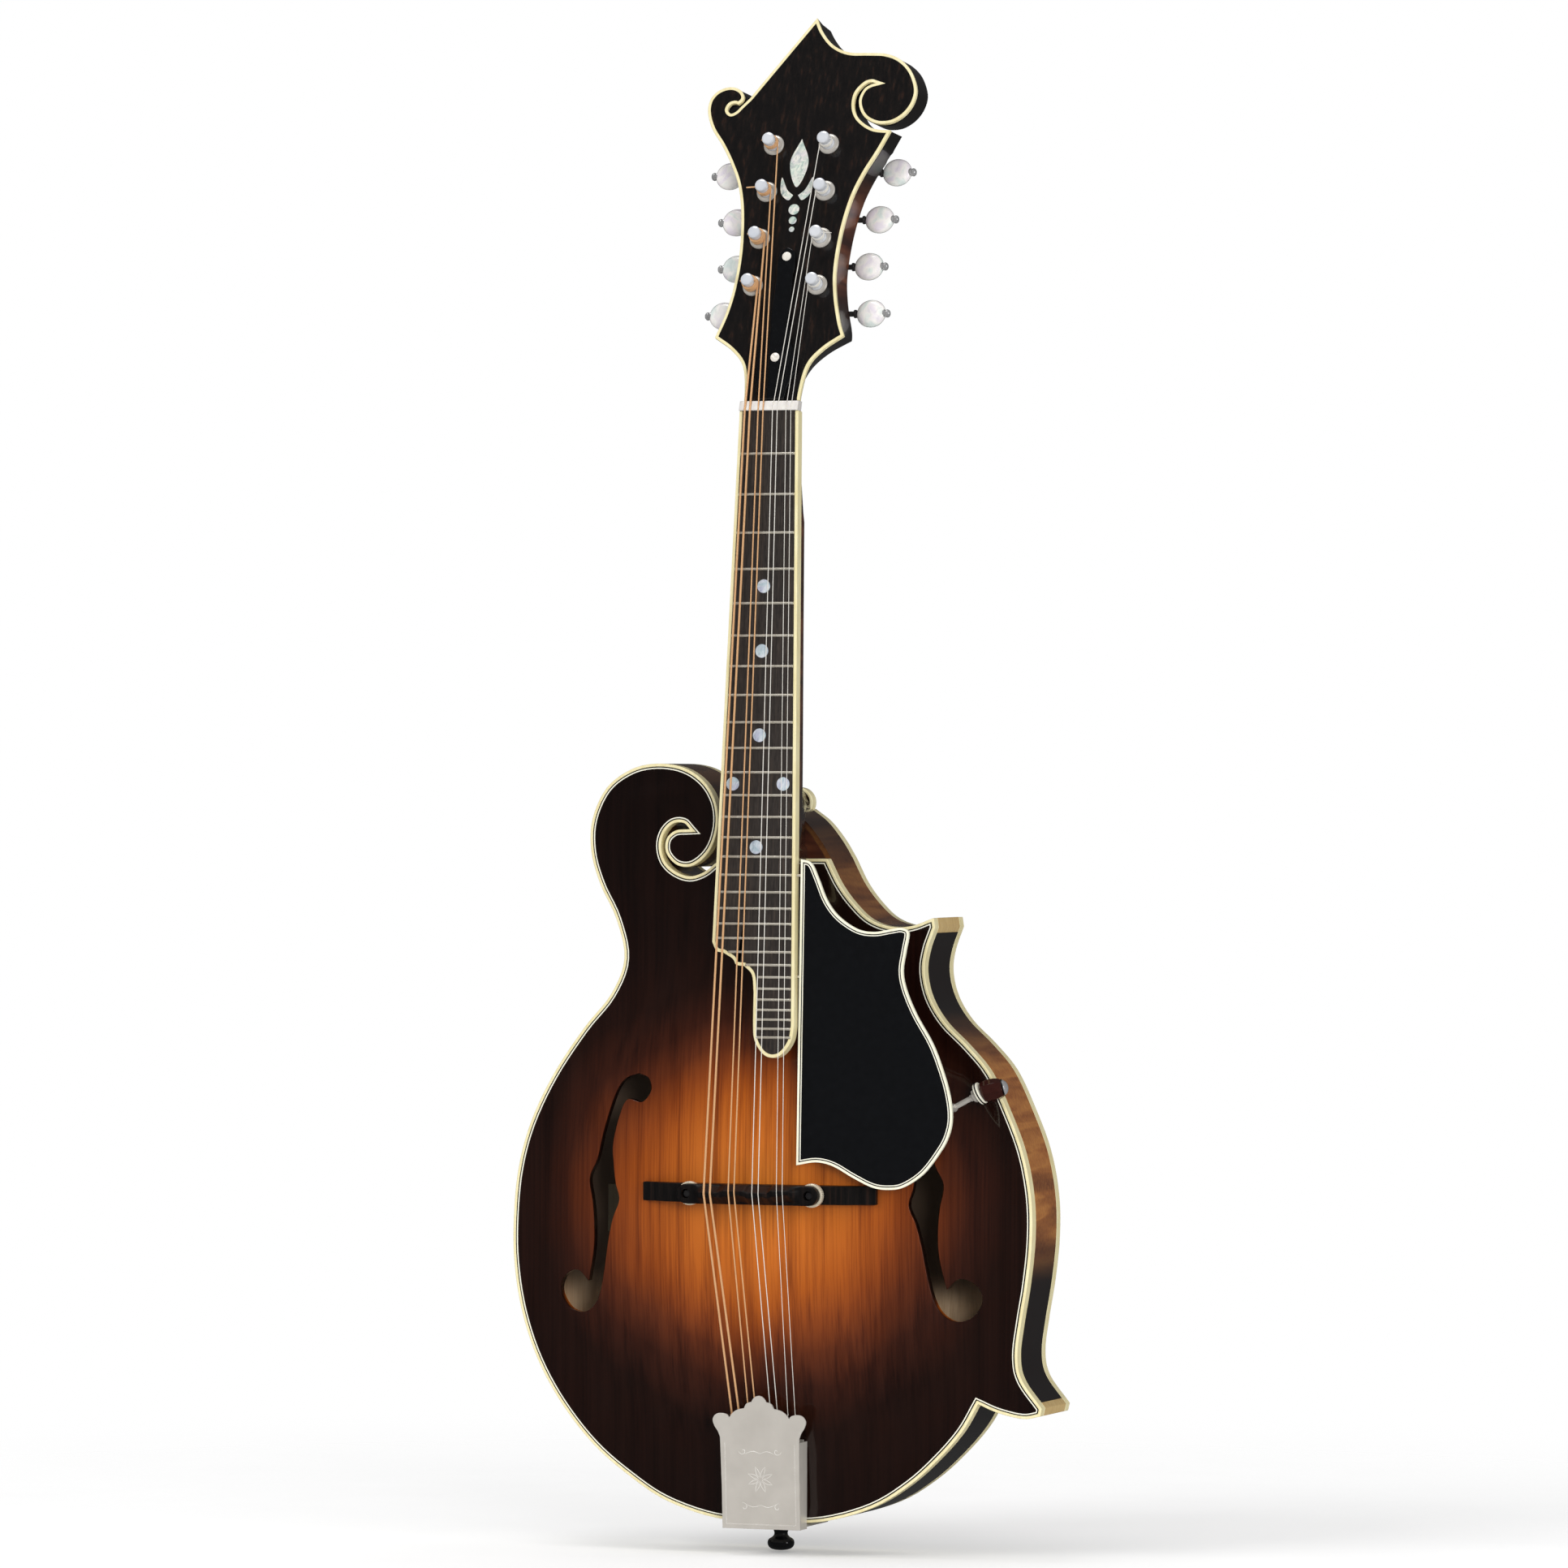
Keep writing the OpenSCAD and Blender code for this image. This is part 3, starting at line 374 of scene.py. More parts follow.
SPRUCE = burst_wood("spruce_sunburst", spruce_grain)
BACK_MAPLE = burst_wood("maple_sunburst", maple_bands)
RIB_MAPLE = make_rib_maple()
NECK_MAPLE = make_neck_maple()
EBONY = make_ebony("ebony")
EBONY_GLOSS = make_ebony("ebony_gloss", coat=1.0, rough=0.3)
BOARD = make_board()
CREAM = make_cream("ivoroid", (243, 234, 192), (226, 212, 160))
CREAM_AGED = make_cream("ivoroid_aged", (214, 186, 130), (190, 158, 104))
GUARD_CREAM = make_cream("guard_cream", (248, 246, 226), (236, 232, 206))
WHITE = make_cream("white_line", (246, 244, 230), (232, 228, 208))
BONE = make_cream("bone", (232, 228, 222), (206, 200, 196), 0.25)
DARK_LINE = make_plastic("dark_line", (12, 10, 10), 0.25)
BLACK = make_plastic("gloss_black", (14, 15, 17), 0.1)
PIN_BLACK = make_plastic("pin_black", (13, 13, 14))
CLAMP_WOOD = make_plastic("clamp_block", (50, 22, 18))
PEARL = make_pearl("pearl", (150, 166, 180), (188, 200, 212), (214, 222, 230), 0.22)
PEARL_INLAY = make_pearl("pearl_inlay", (150, 170, 166), (206, 214, 206), (232, 232, 222), 0.3)
BUTTON = make_pearl("button_pearl", (232, 234, 235), (250, 250, 248), (255, 255, 254), 0.16)
NICKEL = make_metal("nickel", (240, 235, 227), (220, 214, 204), metal=0.5)
NICKEL_SATIN = make_metal("nickel_satin", (206, 200, 190), (190, 184, 174), 0.34, brushed=True)
COVER_NICKEL = make_metal("cover_nickel", (222, 216, 207), (212, 206, 197), 0.38, 0.4, brushed=True)
POST_NICKEL = make_metal("post_nickel", (246, 248, 252), (228, 232, 240), 0.18, 0.35)
BALL_METAL = make_metal("ball_metal", (226, 226, 226), (186, 186, 188))
WHEEL_METAL = make_metal("wheel_metal", (244, 234, 212), (222, 208, 182), 0.25, 0.4)
FRET_METAL = make_metal("fret_metal", (236, 230, 216), (214, 206, 190), 0.22)
STEEL = make_metal("steel", (255, 251, 242), (244, 239, 229), 0.35, 0.25)
DARK_STEEL = make_metal("dark_steel", (74, 72, 72), (52, 50, 52), 0.3)
# The tailpiece cover's engraved lines: real lines, painted much brighter and less metallic than the cover's
# nickel as a painted glint along the cuts.
ENGRAVED_GLINT = make_metal("engraved_line_glint", (255, 254, 250), (246, 242, 236), 0.25, 0.2)
BRASS = make_metal("brass", (206, 170, 96), (184, 146, 78), 0.28)
WRAP = make_wrap()
# Bare wood inside the body; on the plates' inner faces it carries painted shade and is light only towards the
# lower f-hole eyes.
INNER = make_bare_wood("inner_wood", (246, 214, 176), (222, 188, 148))
# Painted shade: the label's paper is coloured darker than its own tone, for the shade it lies in inside the
# body.
PAPER_IN_SHADE = make_bare_wood("paper", (172, 162, 138), (160, 148, 122))


# ---- Reading the frame's meshes ----

def welded(node):
    """A node's points in mm, merged, and its triangles."""
    mesh = NODES[node].data
    co = np.empty(len(mesh.vertices) * 3)
    mesh.vertices.foreach_get("co", co)
    mesh.calc_loop_triangles()
    tri = np.empty(len(mesh.loop_triangles) * 3, int)
    mesh.loop_triangles.foreach_get("vertices", tri)
    points, index = np.unique(np.round(co.reshape(-1, 3) / MM, 3), axis=0, return_inverse=True)
    tri = index.reshape(-1)[tri].reshape(-1, 3)
    keep = (tri[:, 0] != tri[:, 1]) & (tri[:, 1] != tri[:, 2]) & (tri[:, 0] != tri[:, 2])
    return points, tri[keep]


LEAST_GAP = 0.15


def rims(node, out, least=0.97, frame_of=None):
    """Boundary loops, as [x, z], of a node's faces to the front (out is -1) or back. Longest first."""
    points, tri = welded(node)
    if frame_of is not None:
        points = moved(points, frame_of.inverted())
    a, b, c = (points[tri[:, k]] for k in range(3))
    n = np.cross(b - a, c - a)
    n /= np.maximum(np.linalg.norm(n, axis=1), 1e-12)[:, None]
    tri = tri[n[:, 1] * out > least]
    edges = {(t[k], t[(k + 1) % 3]) for t in tri.tolist() for k in range(3)}
    follow = {}
    for p, q in edges:
        if (q, p) not in edges:
            follow.setdefault(p, []).append(q)
    loops = []
    while follow:
        start = next(iter(follow))
        loop, at = [], start
        while at in follow:
            loop.append(at)
            ahead = follow[at].pop()
            if not follow[at]:
                del follow[at]
            at = ahead
        flat = points[loop][:, [0, 2]]
        kept = [flat[0]]
        for p in flat[1:]:
            if np.hypot(*(p - kept[-1])) > LEAST_GAP:
                kept.append(p)
        if len(kept) > 2 and np.hypot(*(kept[0] - kept[-1])) <= LEAST_GAP:
            kept.pop()
        if len(kept) > 5:
            loops.append(np.array(kept))
    return sorted(loops, key=lambda l: -np.ptp(l[:, 0]) - np.ptp(l[:, 1]))


def to_outline(points, loop):
    """Distance of each flat point from a closed outline."""
    a = loop
    d = np.roll(loop, -1, axis=0) - a
    length = np.maximum((d**2).sum(1), 1e-12)
    best = np.full(len(points), 1e9)
    for s in range(0, len(points), 4000):
        p = points[s:s + 4000, None, :] - a[None]
        t = np.clip((p * d[None]).sum(2) / length[None], 0, 1)
        best[s:s + 4000] = np.sqrt(((p - t[..., None] * d[None])**2).sum(2).min(1))
    return best


def within(points, loops):
    """True for flat points inside an odd number of the loops."""
    odd = np.zeros(len(points), bool)
    for loop in loops:
        x0, z0 = loop.T
        x1, z1 = np.roll(loop, -1, axis=0).T
        for s in range(0, len(points), 4000):
            px, pz = points[s:s + 4000, 0, None], points[s:s + 4000, 1, None]
            cross = (z0 > pz) != (z1 > pz)
            at = x0 + (pz - z0) / np.where(z1 == z0, 1e-12, z1 - z0) * (x1 - x0)
            odd[s:s + 4000] ^= ((cross & (px < at)).sum(1) % 2).astype(bool)
    return odd


def inset(loop, distance):
    """The loop moved inwards by distance, without the points that would cross over."""
    area = np.sum(loop[:, 0] * np.roll(loop[:, 1], -1) - np.roll(loop[:, 0], -1) * loop[:, 1])
    ahead = np.roll(loop, -1, axis=0) - loop
    ahead /= np.hypot(*ahead.T)[:, None]
    normal = np.stack([-ahead[:, 1], ahead[:, 0]], 1) * np.sign(area)
    before = np.roll(normal, 1, axis=0)
    mean = normal + before
    mean /= np.maximum(np.hypot(*mean.T), 1e-6)[:, None]
    stretch = np.clip((mean * normal).sum(1), 0.35, 1)
    out = loop + mean * (distance / stretch)[:, None]
    return out[to_outline(out, loop) > abs(distance) * 0.97]


# ---- Building meshes ----

def piece(node, points, faces, materials, name=None, index=None, sharp=35.0, bevel=0.0, segments=2,
          limit=35.0, burst_and_shade=None, extra=False, bends=False):
    """Makes an object of points in mm, attached to the node's body. It stands for the node unless it's an
    extra, and it is left unattached if it bends."""
    name = name or node + "_look"
    mesh = bpy.data.meshes.new(name)
    mesh.from_pydata((np.asarray(points, float) * MM).tolist(), [], [list(f) for f in faces])
    for m in materials:
        mesh.materials.append(m)
    if index is not None:
        mesh.polygons.foreach_set("material_index", np.asarray(index, np.int32))
    if burst_and_shade is not None:
        level = mesh.attributes.new("burst_and_shade", "FLOAT", "POINT")
        level.data.foreach_set("value", np.asarray(burst_and_shade, np.float32))
    mesh.validate()
    bm = bmesh.new()
    bm.from_mesh(mesh)
    bmesh.ops.recalc_face_normals(bm, faces=bm.faces)
    bm.to_mesh(mesh)
    bm.free()
    mesh.shade_smooth()
    mesh.set_sharp_from_angle(angle=math.radians(sharp))
    o = bpy.data.objects.new(name, mesh)
    bpy.context.scene.collection.objects.link(o)
    if bevel:
        m = o.modifiers.new("edge", "BEVEL")
        m.width, m.segments, m.angle_limit = bevel * MM, segments, math.radians(limit)
        m.limit_method = "ANGLE"
        m.use_clamp_overlap = False
        m.harden_normals = True
    if not bends:
        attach(o, BODY_OF[node])
    if not extra:
        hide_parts(node)
    return o


def remade(node, material, bevel=0.25, dissolve=0.4, burst_and_shade=None, shape=None, **more):
    """The node's own shape with clean flat faces, softened edges and a finished material."""
    points, tri = welded(node)
    if shape:
        points = shape(points)
    bm = bmesh.new()
    verts = [bm.verts.new(p) for p in points.tolist()]
    for t in tri.tolist():
        try:
            bm.faces.new([verts[k] for k in t])
        except ValueError:
            pass
    bmesh.ops.recalc_face_normals(bm, faces=bm.faces)
    bmesh.ops.dissolve_limit(bm, angle_limit=math.radians(dissolve), verts=bm.verts, edges=bm.edges)
    bmesh.ops.delete(bm, geom=[v for v in bm.verts if not v.link_faces], context="VERTS")
    bm.verts.index_update()
    points = np.array([v.co[:] for v in bm.verts])
    faces = [[v.index for v in f.verts] for f in bm.faces]
    bm.free()
    piece(node, points, faces, [material], bevel=bevel, burst_and_shade=burst_and_shade(points) if burst_and_shade else None, **more)


def filled(loops, step):
    """Points and triangles of the flat area inside loops. step is the spacing of inner points."""
    points = [p for loop in loops for p in loop]
    edges, start = [], 0
    for loop in loops:
        n = len(loop)
        edges += [(start + k, start + (k + 1) % n) for k in range(n)]
        start += n
    if step:
        lo, hi = np.min(points, axis=0), np.max(points, axis=0)
        rows = np.arange(lo[1], hi[1], step * 0.866)
        grid = np.array([(x + (k % 2) * step / 2, z) for k, z in enumerate(rows)
                         for x in np.arange(lo[0], hi[0], step)])
        grid = grid[within(grid, loops)]
        clear = np.min([to_outline(grid, loop) for loop in loops], axis=0)
        points += list(grid[clear > step * 0.55])
    v, _, f, _, _, _ = delaunay_2d_cdt([Vector(p) for p in points], edges, [], 0, 1e-5)
    flat = np.array([p[:] for p in v])
    tri = np.array([t for t in f])
    return flat, tri[within(flat[tri].mean(axis=1), loops)]


def walled(flat, tri, front, back):
    """A closed solid over flat triangles, between the depths front and back."""
    n = len(flat)
    area = np.cross(flat[tri[:, 1]] - flat[tri[:, 0]], flat[tri[:, 2]] - flat[tri[:, 0]])
    tri = np.where(area[:, None] < 0, tri[:, ::-1], tri)
    x, z = flat.T
    edges = {(t[k], t[(k + 1) % 3]) for t in tri.tolist() for k in range(3)}
    walls = [(p, p + n, q + n, q) for p, q in sorted(edges) if (q, p) not in edges]
    faces = tri.tolist() + (tri[:, ::-1] + n).tolist() + walls
    return np.vstack([columns(x, front, z), columns(x, back, z)]), faces


def plate(loops, y_front, y_back, step=None):
    """A flat plate with holes, in its own frame."""
    return walled(*filled(loops, step), y_front, y_back)


def loft(rings, closed=False):
    """A solid through rings of equally many points. It has end faces, or is closed on its first ring."""
    n, count = len(rings[0]), len(rings)
    faces = []
    for k in range(count if closed else count - 1):
        a, b = k * n, (k + 1) % count * n
        faces += [(a + s, a + (s + 1) % n, b + (s + 1) % n, b + s) for s in range(n)]
    if not closed:
        faces += [tuple(range(n)), tuple((count - 1) * n + s for s in range(n))]
    return np.vstack(rings).astype(float), faces


def lathe(profile, segments=32):
    """A solid turned about Y from (radius, y) points that end on the axis, or where they began."""
    closed = profile[0] == profile[-1]
    points, rings, faces = [], [], []
    for r, y in profile[:-1] if closed else profile:
        ring = circle(r, n=segments if r else 1)
        rings.append(range(len(points), len(points) + len(ring)))
        points += [(x, y, z) for x, z in ring]
    for a, b in zip(rings, rings[1:] + rings[:closed]):
        for k in range(segments):
            m = (k + 1) % segments
            corners = (a[k % len(a)], a[m % len(a)], b[m % len(b)], b[k % len(b)])
            faces.append(tuple(dict.fromkeys(corners)))
    return np.array(points), faces


def tube(path, radius, sides=8):
    """A closed round bar along path. radius is one number or one for each point."""
    path = np.asarray(path, float)
    tangent = np.gradient(path, axis=0)
    tangent /= np.linalg.norm(tangent, axis=1)[:, None]
    side = np.cross(tangent[0], (0.3, 0.2, 1.0) if abs(tangent[0][2]) < 0.9 else (1.0, 0.2, 0.1))
    a = np.arange(sides)[:, None] * 2 * math.pi / sides
    rings = []
    for p, t, r in zip(path, tangent, np.broadcast_to(radius, len(path))):
        side = side - t * (side @ t)
        side /= np.linalg.norm(side)
        rings.append(p + r * (np.cos(a) * side + np.sin(a) * np.cross(t, side)))
    return loft(rings)


class Parts:
    """Collects several meshes, each with its own material, into one piece."""

    def __init__(self):
        self.points, self.faces, self.index, self.count = [], [], [], 0

    def add(self, mesh, place=None, material=0):
        points, faces = mesh
        self.points.append(points if place is None else moved(points, place))
        self.faces += [[k + self.count for k in f] for f in faces]
        self.index += [material] * len(faces)
        self.count += len(points)
        return self

    def piece(self, node, materials, **more):
        return piece(node, np.vstack(self.points), self.faces, materials, index=self.index, **more)


# ---- Carved front and back ----

def burst_level(x, z):
    """0 in the amber centre, growing to 1 far outside it; the amber reaches further down than up."""
    up = z + 356
    return np.sqrt((x / 75)**2 + (up / np.where(up > 0, 62, 71))**2) / 3.0


def arch_height(x, z, edge, crown):
    """Height of a carved plate: a dome that flows into a shallow channel along the rim."""
    dz = z - ARCH_Z
    reach = np.where(dz > 0, 150.0, ARCH_REACH)
    dome = crown * (1 - (x / ARCH_REACH)**2 - (dz / reach)**2)
    dome = (dome + np.sqrt(dome**2 + 1.5)) / 2
    height = dome * smoothstep(3, 32, edge) - 0.8 * smoothstep(0, 7, edge) * (1 - smoothstep(10, 26, edge))
    scroll = smoothstep(-250, -212, z) * smoothstep(-12, -24, x)
    horn = smoothstep(-268, -244, z) * smoothstep(18, 40, x)
    ridge = np.sin(np.clip(edge / 15.0, 0, 1) * math.pi / 2)**2
    return height + 2.6 * scroll * ridge + 1.6 * horn * ridge


PURFLING = ((0.0, 0.4, DARK_LINE), (0.4, 0.9, WHITE))
PURFLING_DEPTH = 1.5
CARVED_STEP = 2.2


def carved(side, node, binding, out, rim_y, crown, material, holes=()):
    """A carved plate inside its purfling. out is -1 for the front and 1 for the back."""
    edges = sorted(rims(binding, out), key=len, reverse=True)[:2]
    lines = [min(edges, key=lambda l: np.ptp(l[:, 0]) + np.ptp(l[:, 1]))]
    lines += [inset(lines[0], end) for _, end, _ in PURFLING]
    flat, tri = filled([lines[2], *holes], CARVED_STEP)
    x, z = flat.T
    edge = to_outline(flat, lines[2])
    face = rim_y + out * arch_height(x, z, edge, crown)
    shade = np.maximum(burst_level(x, z), 0.56 - edge / 60)
    # Painted shade on the plates' inner faces: the bare wood stays light below z -412, near the lower f-hole
    # eyes where light falls in, and is painted dark above -394.
    inner_painted_shade = smoothstep(-412, -394, z)
    skins = [(face, shade, 0), (face - out * PLATE_T, inner_painted_shade, 1)][::-out]
    (front, front_level, _), (back, back_level, _) = skins
    points, faces = walled(flat, tri, front, back)
    index = [skin[2] for skin in skins for _ in tri] + [0] * (len(faces) - 2 * len(tri))
    piece(node, points, faces, [material, INNER], side + "_carved", index, sharp=50, bevel=0.35, limit=50,
          burst_and_shade=np.concatenate([front_level, back_level]))
    parts = Parts()
    for k, skin in enumerate((0.04, 0.07)):
        depths = sorted((rim_y + out * skin, rim_y - out * PURFLING_DEPTH))
        parts.add(plate(lines[k:k + 2], *depths), material=k)
    parts.piece(binding, [line[2] for line in PURFLING], name=side + "_purfling", sharp=50, extra=True)


F_HOLES = [l for l in rims("soundboard", -1, least=0.2) if 60 < np.ptp(l[:, 1]) < 160]
carved("front", "soundboard", "top_binding", -1, 0.0, FRONT_ARCH, SPRUCE, F_HOLES)
carved("back", "back_plate", "back_binding", 1, RIM_DEPTH, BACK_ARCH, BACK_MAPLE)


# ---- Ribs, neck and other pieces that keep the frame's shape ----

def rib_dark(points):
    """Dark towards the heel, the two points and the bottom of the body, gold between."""
    x, z = points[:, 0], points[:, 2]
    bout = np.maximum(smoothstep(-304, -272, z), smoothstep(-368, -398, z))
    shoulder = np.maximum(0.8 * smoothstep(-222, -188, z), smoothstep(50, 70, x)) * 0.6 + 0.4
    waist = np.maximum(0.75 * smoothstep(-310, -260, z), smoothstep(-368, -398, z))
    return np.where(x < 0, waist, np.where((z > -255) & (x < 100), shoulder, bout))


def neck_dark(points):
    """Black at both ends of the headstock, red-brown between."""
    z = points[:, 2]
    head = np.maximum(smoothstep(90, 114, z), smoothstep(55, 38, z) * smoothstep(-60, 0, z))
    return np.clip(0.2 + 0.8 * np.maximum(head, 0.7 * smoothstep(-120, -170, z)), 0, 1)


POST_X, POST_LEAN, POST_Z, POST_STEP, POST_R = 15.7, 0.75, 61.5, 23.2, 3.0
HEAD_LEAN, WAIST_PULL = 3.3, 0.7


def side_of(i):
    """Tuners 0 to 3 are on the bass side from the nut up, 4 to 7 on the treble side."""
    return -1 if i < 4 else 1


def post_at(i):
    return side_of(i) * (POST_X - POST_LEAN * (i % 4)), POST_Z + POST_STEP * (i % 4)


def neck_shape(points):
    """The headstock's sides draw in behind the nut, and lean a little up towards the back."""
    p = moved(points, HEAD.inverted())
    deep = np.clip((p[:, 1] - 2) / 14, 0, 1)
    pull = WAIST_PULL * smoothstep(-6, 0, p[:, 2]) * (1 - smoothstep(0, 44, p[:, 2]))
    p[:, 0] *= 1 - pull * deep
    bores = np.array([post_at(i) for i in range(8)])
    clear = np.hypot(p[:, 0:1] - bores[:, 0], p[:, 2:3] - bores[:, 1]).min(axis=1) > 4.3
    p[:, 2] = np.minimum(p[:, 2] + HEAD_LEAN * deep * smoothstep(4, 34, p[:, 2]) * clear, p[:, 2].max())
    return moved(p, HEAD)


SOFT_EDGE = {"limit": 60, "sharp": 60}
remade("ribs", RIB_MAPLE, bevel=0, dissolve=0.05, burst_and_shade=rib_dark, sharp=40)
remade("top_binding", CREAM, bevel=0.5, segments=3, **SOFT_EDGE)
remade("back_binding", CREAM, bevel=0.5, segments=3, **SOFT_EDGE)
remade("point_caps", CREAM_AGED, bevel=0.2)
remade("neck", NECK_MAPLE, bevel=0.3, dissolve=0.05, burst_and_shade=neck_dark, shape=neck_shape)
remade("headstock_overlay", EBONY_GLOSS, bevel=0)
remade("headstock_binding", CREAM, bevel=0.3, **SOFT_EDGE)
remade("headstock_inlay", PEARL_INLAY, bevel=0)
remade("truss_rod_cover", BLACK, bevel=0.35, segments=3, **SOFT_EDGE)
remade("fingerboard", BOARD, bevel=0.15)
remade("fingerboard_binding", CREAM, bevel=0.35, segments=3, **SOFT_EDGE)
remade("position_markers", PEARL, bevel=0)
remade("tuner_plates", NICKEL)
remade("bridge_base", EBONY, bevel=0.5, segments=3)
remade("tailpiece_base", NICKEL_SATIN, bevel=0.2)
for name in ("linings", "tone_bars", "tail_block", "point_blocks"):
    remade(name, INNER, bevel=0.4)
remade("head_block", NECK_MAPLE, bevel=0.4, burst_and_shade=lambda p: np.full(len(p), 0.5))
remade("label", PAPER_IN_SHADE, bevel=0)
remade("truss_rod", STEEL, bevel=0.2)
remade("truss_rod_nut", BRASS, bevel=0.3)


# ---- Screws, coils and turned metal ----

def screw(r, seat, top, slot, turn):
    """A domed, slotted screw head about Y."""
    height = seat - top
    half = math.asin(slot / 2 / r)
    arc = np.linspace(half, math.pi - half, 15)
    parts = Parts()
    for flip in (r, -r):
        flat, tri = filled([columns(flip * np.cos(arc), flip * np.sin(arc))], r / 4)
        parts.add(walled(flat, tri, top + height * 0.7 * (np.hypot(*flat.T) / r)**2.4, seat))
    parts.add(plate([circle(0.96 * r)], top + 0.6 * height, seat))
    return moved(np.vstack(parts.points), turned(turn, "Y")), parts.faces


def helix(radius, y_from, y_to, turns, hand):
    """Points winding about Y. They start at the side hand points to, going up."""
    a = np.linspace(0, 2 * math.pi * turns, int(28 * turns))
    return columns(hand * radius * np.cos(a), np.linspace(y_from, y_to, len(a)), radius * np.sin(a))


STRING_R = (0.5, 0.33, 0.14, 0.19)
POST_TOP, WAIST_R, HOLE_Y = -9.6, 2.72, -6.6
STRING_END, LONG_STRING_END = 0.9, 4.6
GEAR_Y, GEAR_T, GEAR_R, GEAR_TEETH, TOOTH = 20.0, 2.2, 4.45, 14, 0.55
WORM_DROP, WORM_R, WORM_SWING, WORM_LEAD = 6.8, 1.8, 0.6, 2.109
KNOB_REACH, KNOB_IN = (37.0, 33.4, 36.0, 42.0), 0.9
BUTTON_R, BUTTON_STRETCH = 6.4, 1.05


def string_r(i):
    return STRING_R[(i % 4) // 2 + (0 if i < 4 else 2)]


def coil_start(i):
    """Depth at which the string meets its post."""
    return HOLE_Y + 1.15 + 3 * (2 * string_r(i) + 0.03) + (0.4 if i > 3 else 0)


def tuner_post(i):
    x, z = post_at(i)
    hand, r = -side_of(i), string_r(i)
    place = HEAD @ shifted(x, 0, z)
    parts = Parts()
    profile = [(0, 0), (1.2, 0.02), (2.1, 0.12), (2.65, 0.38), (2.92, 0.8), (POST_R, 1.3),
               (POST_R, 1.85), (2.9, 2.0), (WAIST_R, 2.2), (WAIST_R, 7.7), (2.95, 8.0), (POST_R, 8.3),
               (POST_R, 28.5), (0, 28.5)]
    parts.add(lathe(profile, 40), place @ shifted(y=POST_TOP))
    around, low = WAIST_R + r, coil_start(i)
    rise = helix(around, low, HOLE_Y + 1.1, 2.9, hand)
    past = LONG_STRING_END if i in (2, 5) else STRING_END
    end = curve([rise[-1], (hand * (around + 0.15), HOLE_Y + 0.45, 0.4), (hand * 1.6, HOLE_Y, 0.1),
                 (-hand * 2.9, HOLE_Y, 0), (-hand * (POST_R + past), HOLE_Y - 0.12 * past, -0.1 * past)], 6)
    parts.add(tube(np.vstack([helix(around, low, low, 1, hand), rise[1:], end[1:]]), r), place, 1)
    for rim in (-3.0, 2.7):
        parts.add(lathe([(0.85, 0), (1.05, 0), (1.05, 0.3), (0.85, 0.3), (0.85, 0)], 16),
                  place @ shifted(y=HOLE_Y) @ turned(90, "Z") @ shifted(y=rim))
    a = np.arange(GEAR_TEETH * 8) * math.pi / (GEAR_TEETH * 4)
    wave = GEAR_R - TOOTH * np.cos(a * GEAR_TEETH)
    gear = place @ shifted(y=GEAR_Y)
    parts.add(plate([columns(wave * np.sin(a), -wave * np.cos(a))], -GEAR_T / 2, GEAR_T / 2), gear, 2)
    parts.add(screw(2.0, 0, -1.0, 0.5, 17.0 * i), gear @ shifted(y=GEAR_T / 2) @ turned(180, "X"))
    parts.piece("tuner_post_%d" % (i + 1), [POST_NICKEL, WRAP if i < 4 else STEEL, BRASS], sharp=28,
                bevel=0.06, segments=1, limit=50)


def tuner_knob(i):
    x, z = post_at(i)
    side = side_of(i)
    reach = KNOB_REACH[i % 4] - abs(x) - KNOB_IN
    place = HEAD @ shifted(x, GEAR_Y, z - WORM_DROP)
    out = place @ turned(-90 * side, "Z")
    a = np.arange(16) * math.pi / 8
    worm = []
    for h in np.linspace(-2.6, 2.6, 73):
        swing = math.pi + 2 * math.pi * h / WORM_LEAD
        worm.append(columns(h, WORM_R * np.sin(a) + WORM_SWING * math.sin(swing),
                            -WORM_R * np.cos(a) - WORM_SWING * math.cos(swing)))
    parts = Parts().add(loft(worm), place, 1)
    for y in (-3.0, 2.55):
        parts.add(lathe([(0, 0), (2.25, 0), (2.42, 0.12), (2.42, 0.33), (2.25, 0.45), (0, 0.45)]),
                  out @ shifted(y=y), 1)
    parts.add(lathe([(0, -5.2), (1.3, -5.2), (1.5, -5.0), (1.5, -2.9), (0, -2.9)]), out, 1)
    neck = reach - BUTTON_R
    parts.add(lathe([(0, 2.9), (1.5, 2.9), (1.5, 6.6), (1.25, 6.9), (1.25, neck - 2.2), (1.45, neck - 2.0),
                     (1.95, neck - 1.7), (1.95, neck - 0.9), (1.6, neck - 0.6), (1.6, neck + 0.7),
                     (0, neck + 0.7)], 28), out, 1)
    ball = [(0, 0), (1.7, 0), (2.0, 0.7), (2.0, 1.2), (1.5, 1.45), (1.4, 1.6), (1.6, 1.8), (1.85, 2.2),
            (1.9, 2.7), (1.65, 3.3), (1.1, 3.75), (0, 3.9)]
    parts.add(lathe(ball, 28), out @ shifted(y=reach + BUTTON_R - 1.1))
    half = [(6.6, 0.3), (6.25, 1.3), (5.5, 2.05), (4.4, 2.5), (2.6, 2.7), (0, 2.75)]
    parts.add(lathe([(r, -y) for r, y in half[::-1]] + half, 64),
              place @ shifted(side * reach) @ Matrix.Diagonal((BUTTON_STRETCH, 1, 1, 1)), 2)
    parts.piece("tuner_knob_%d" % (i + 1), [BALL_METAL, DARK_STEEL, BUTTON], sharp=30)


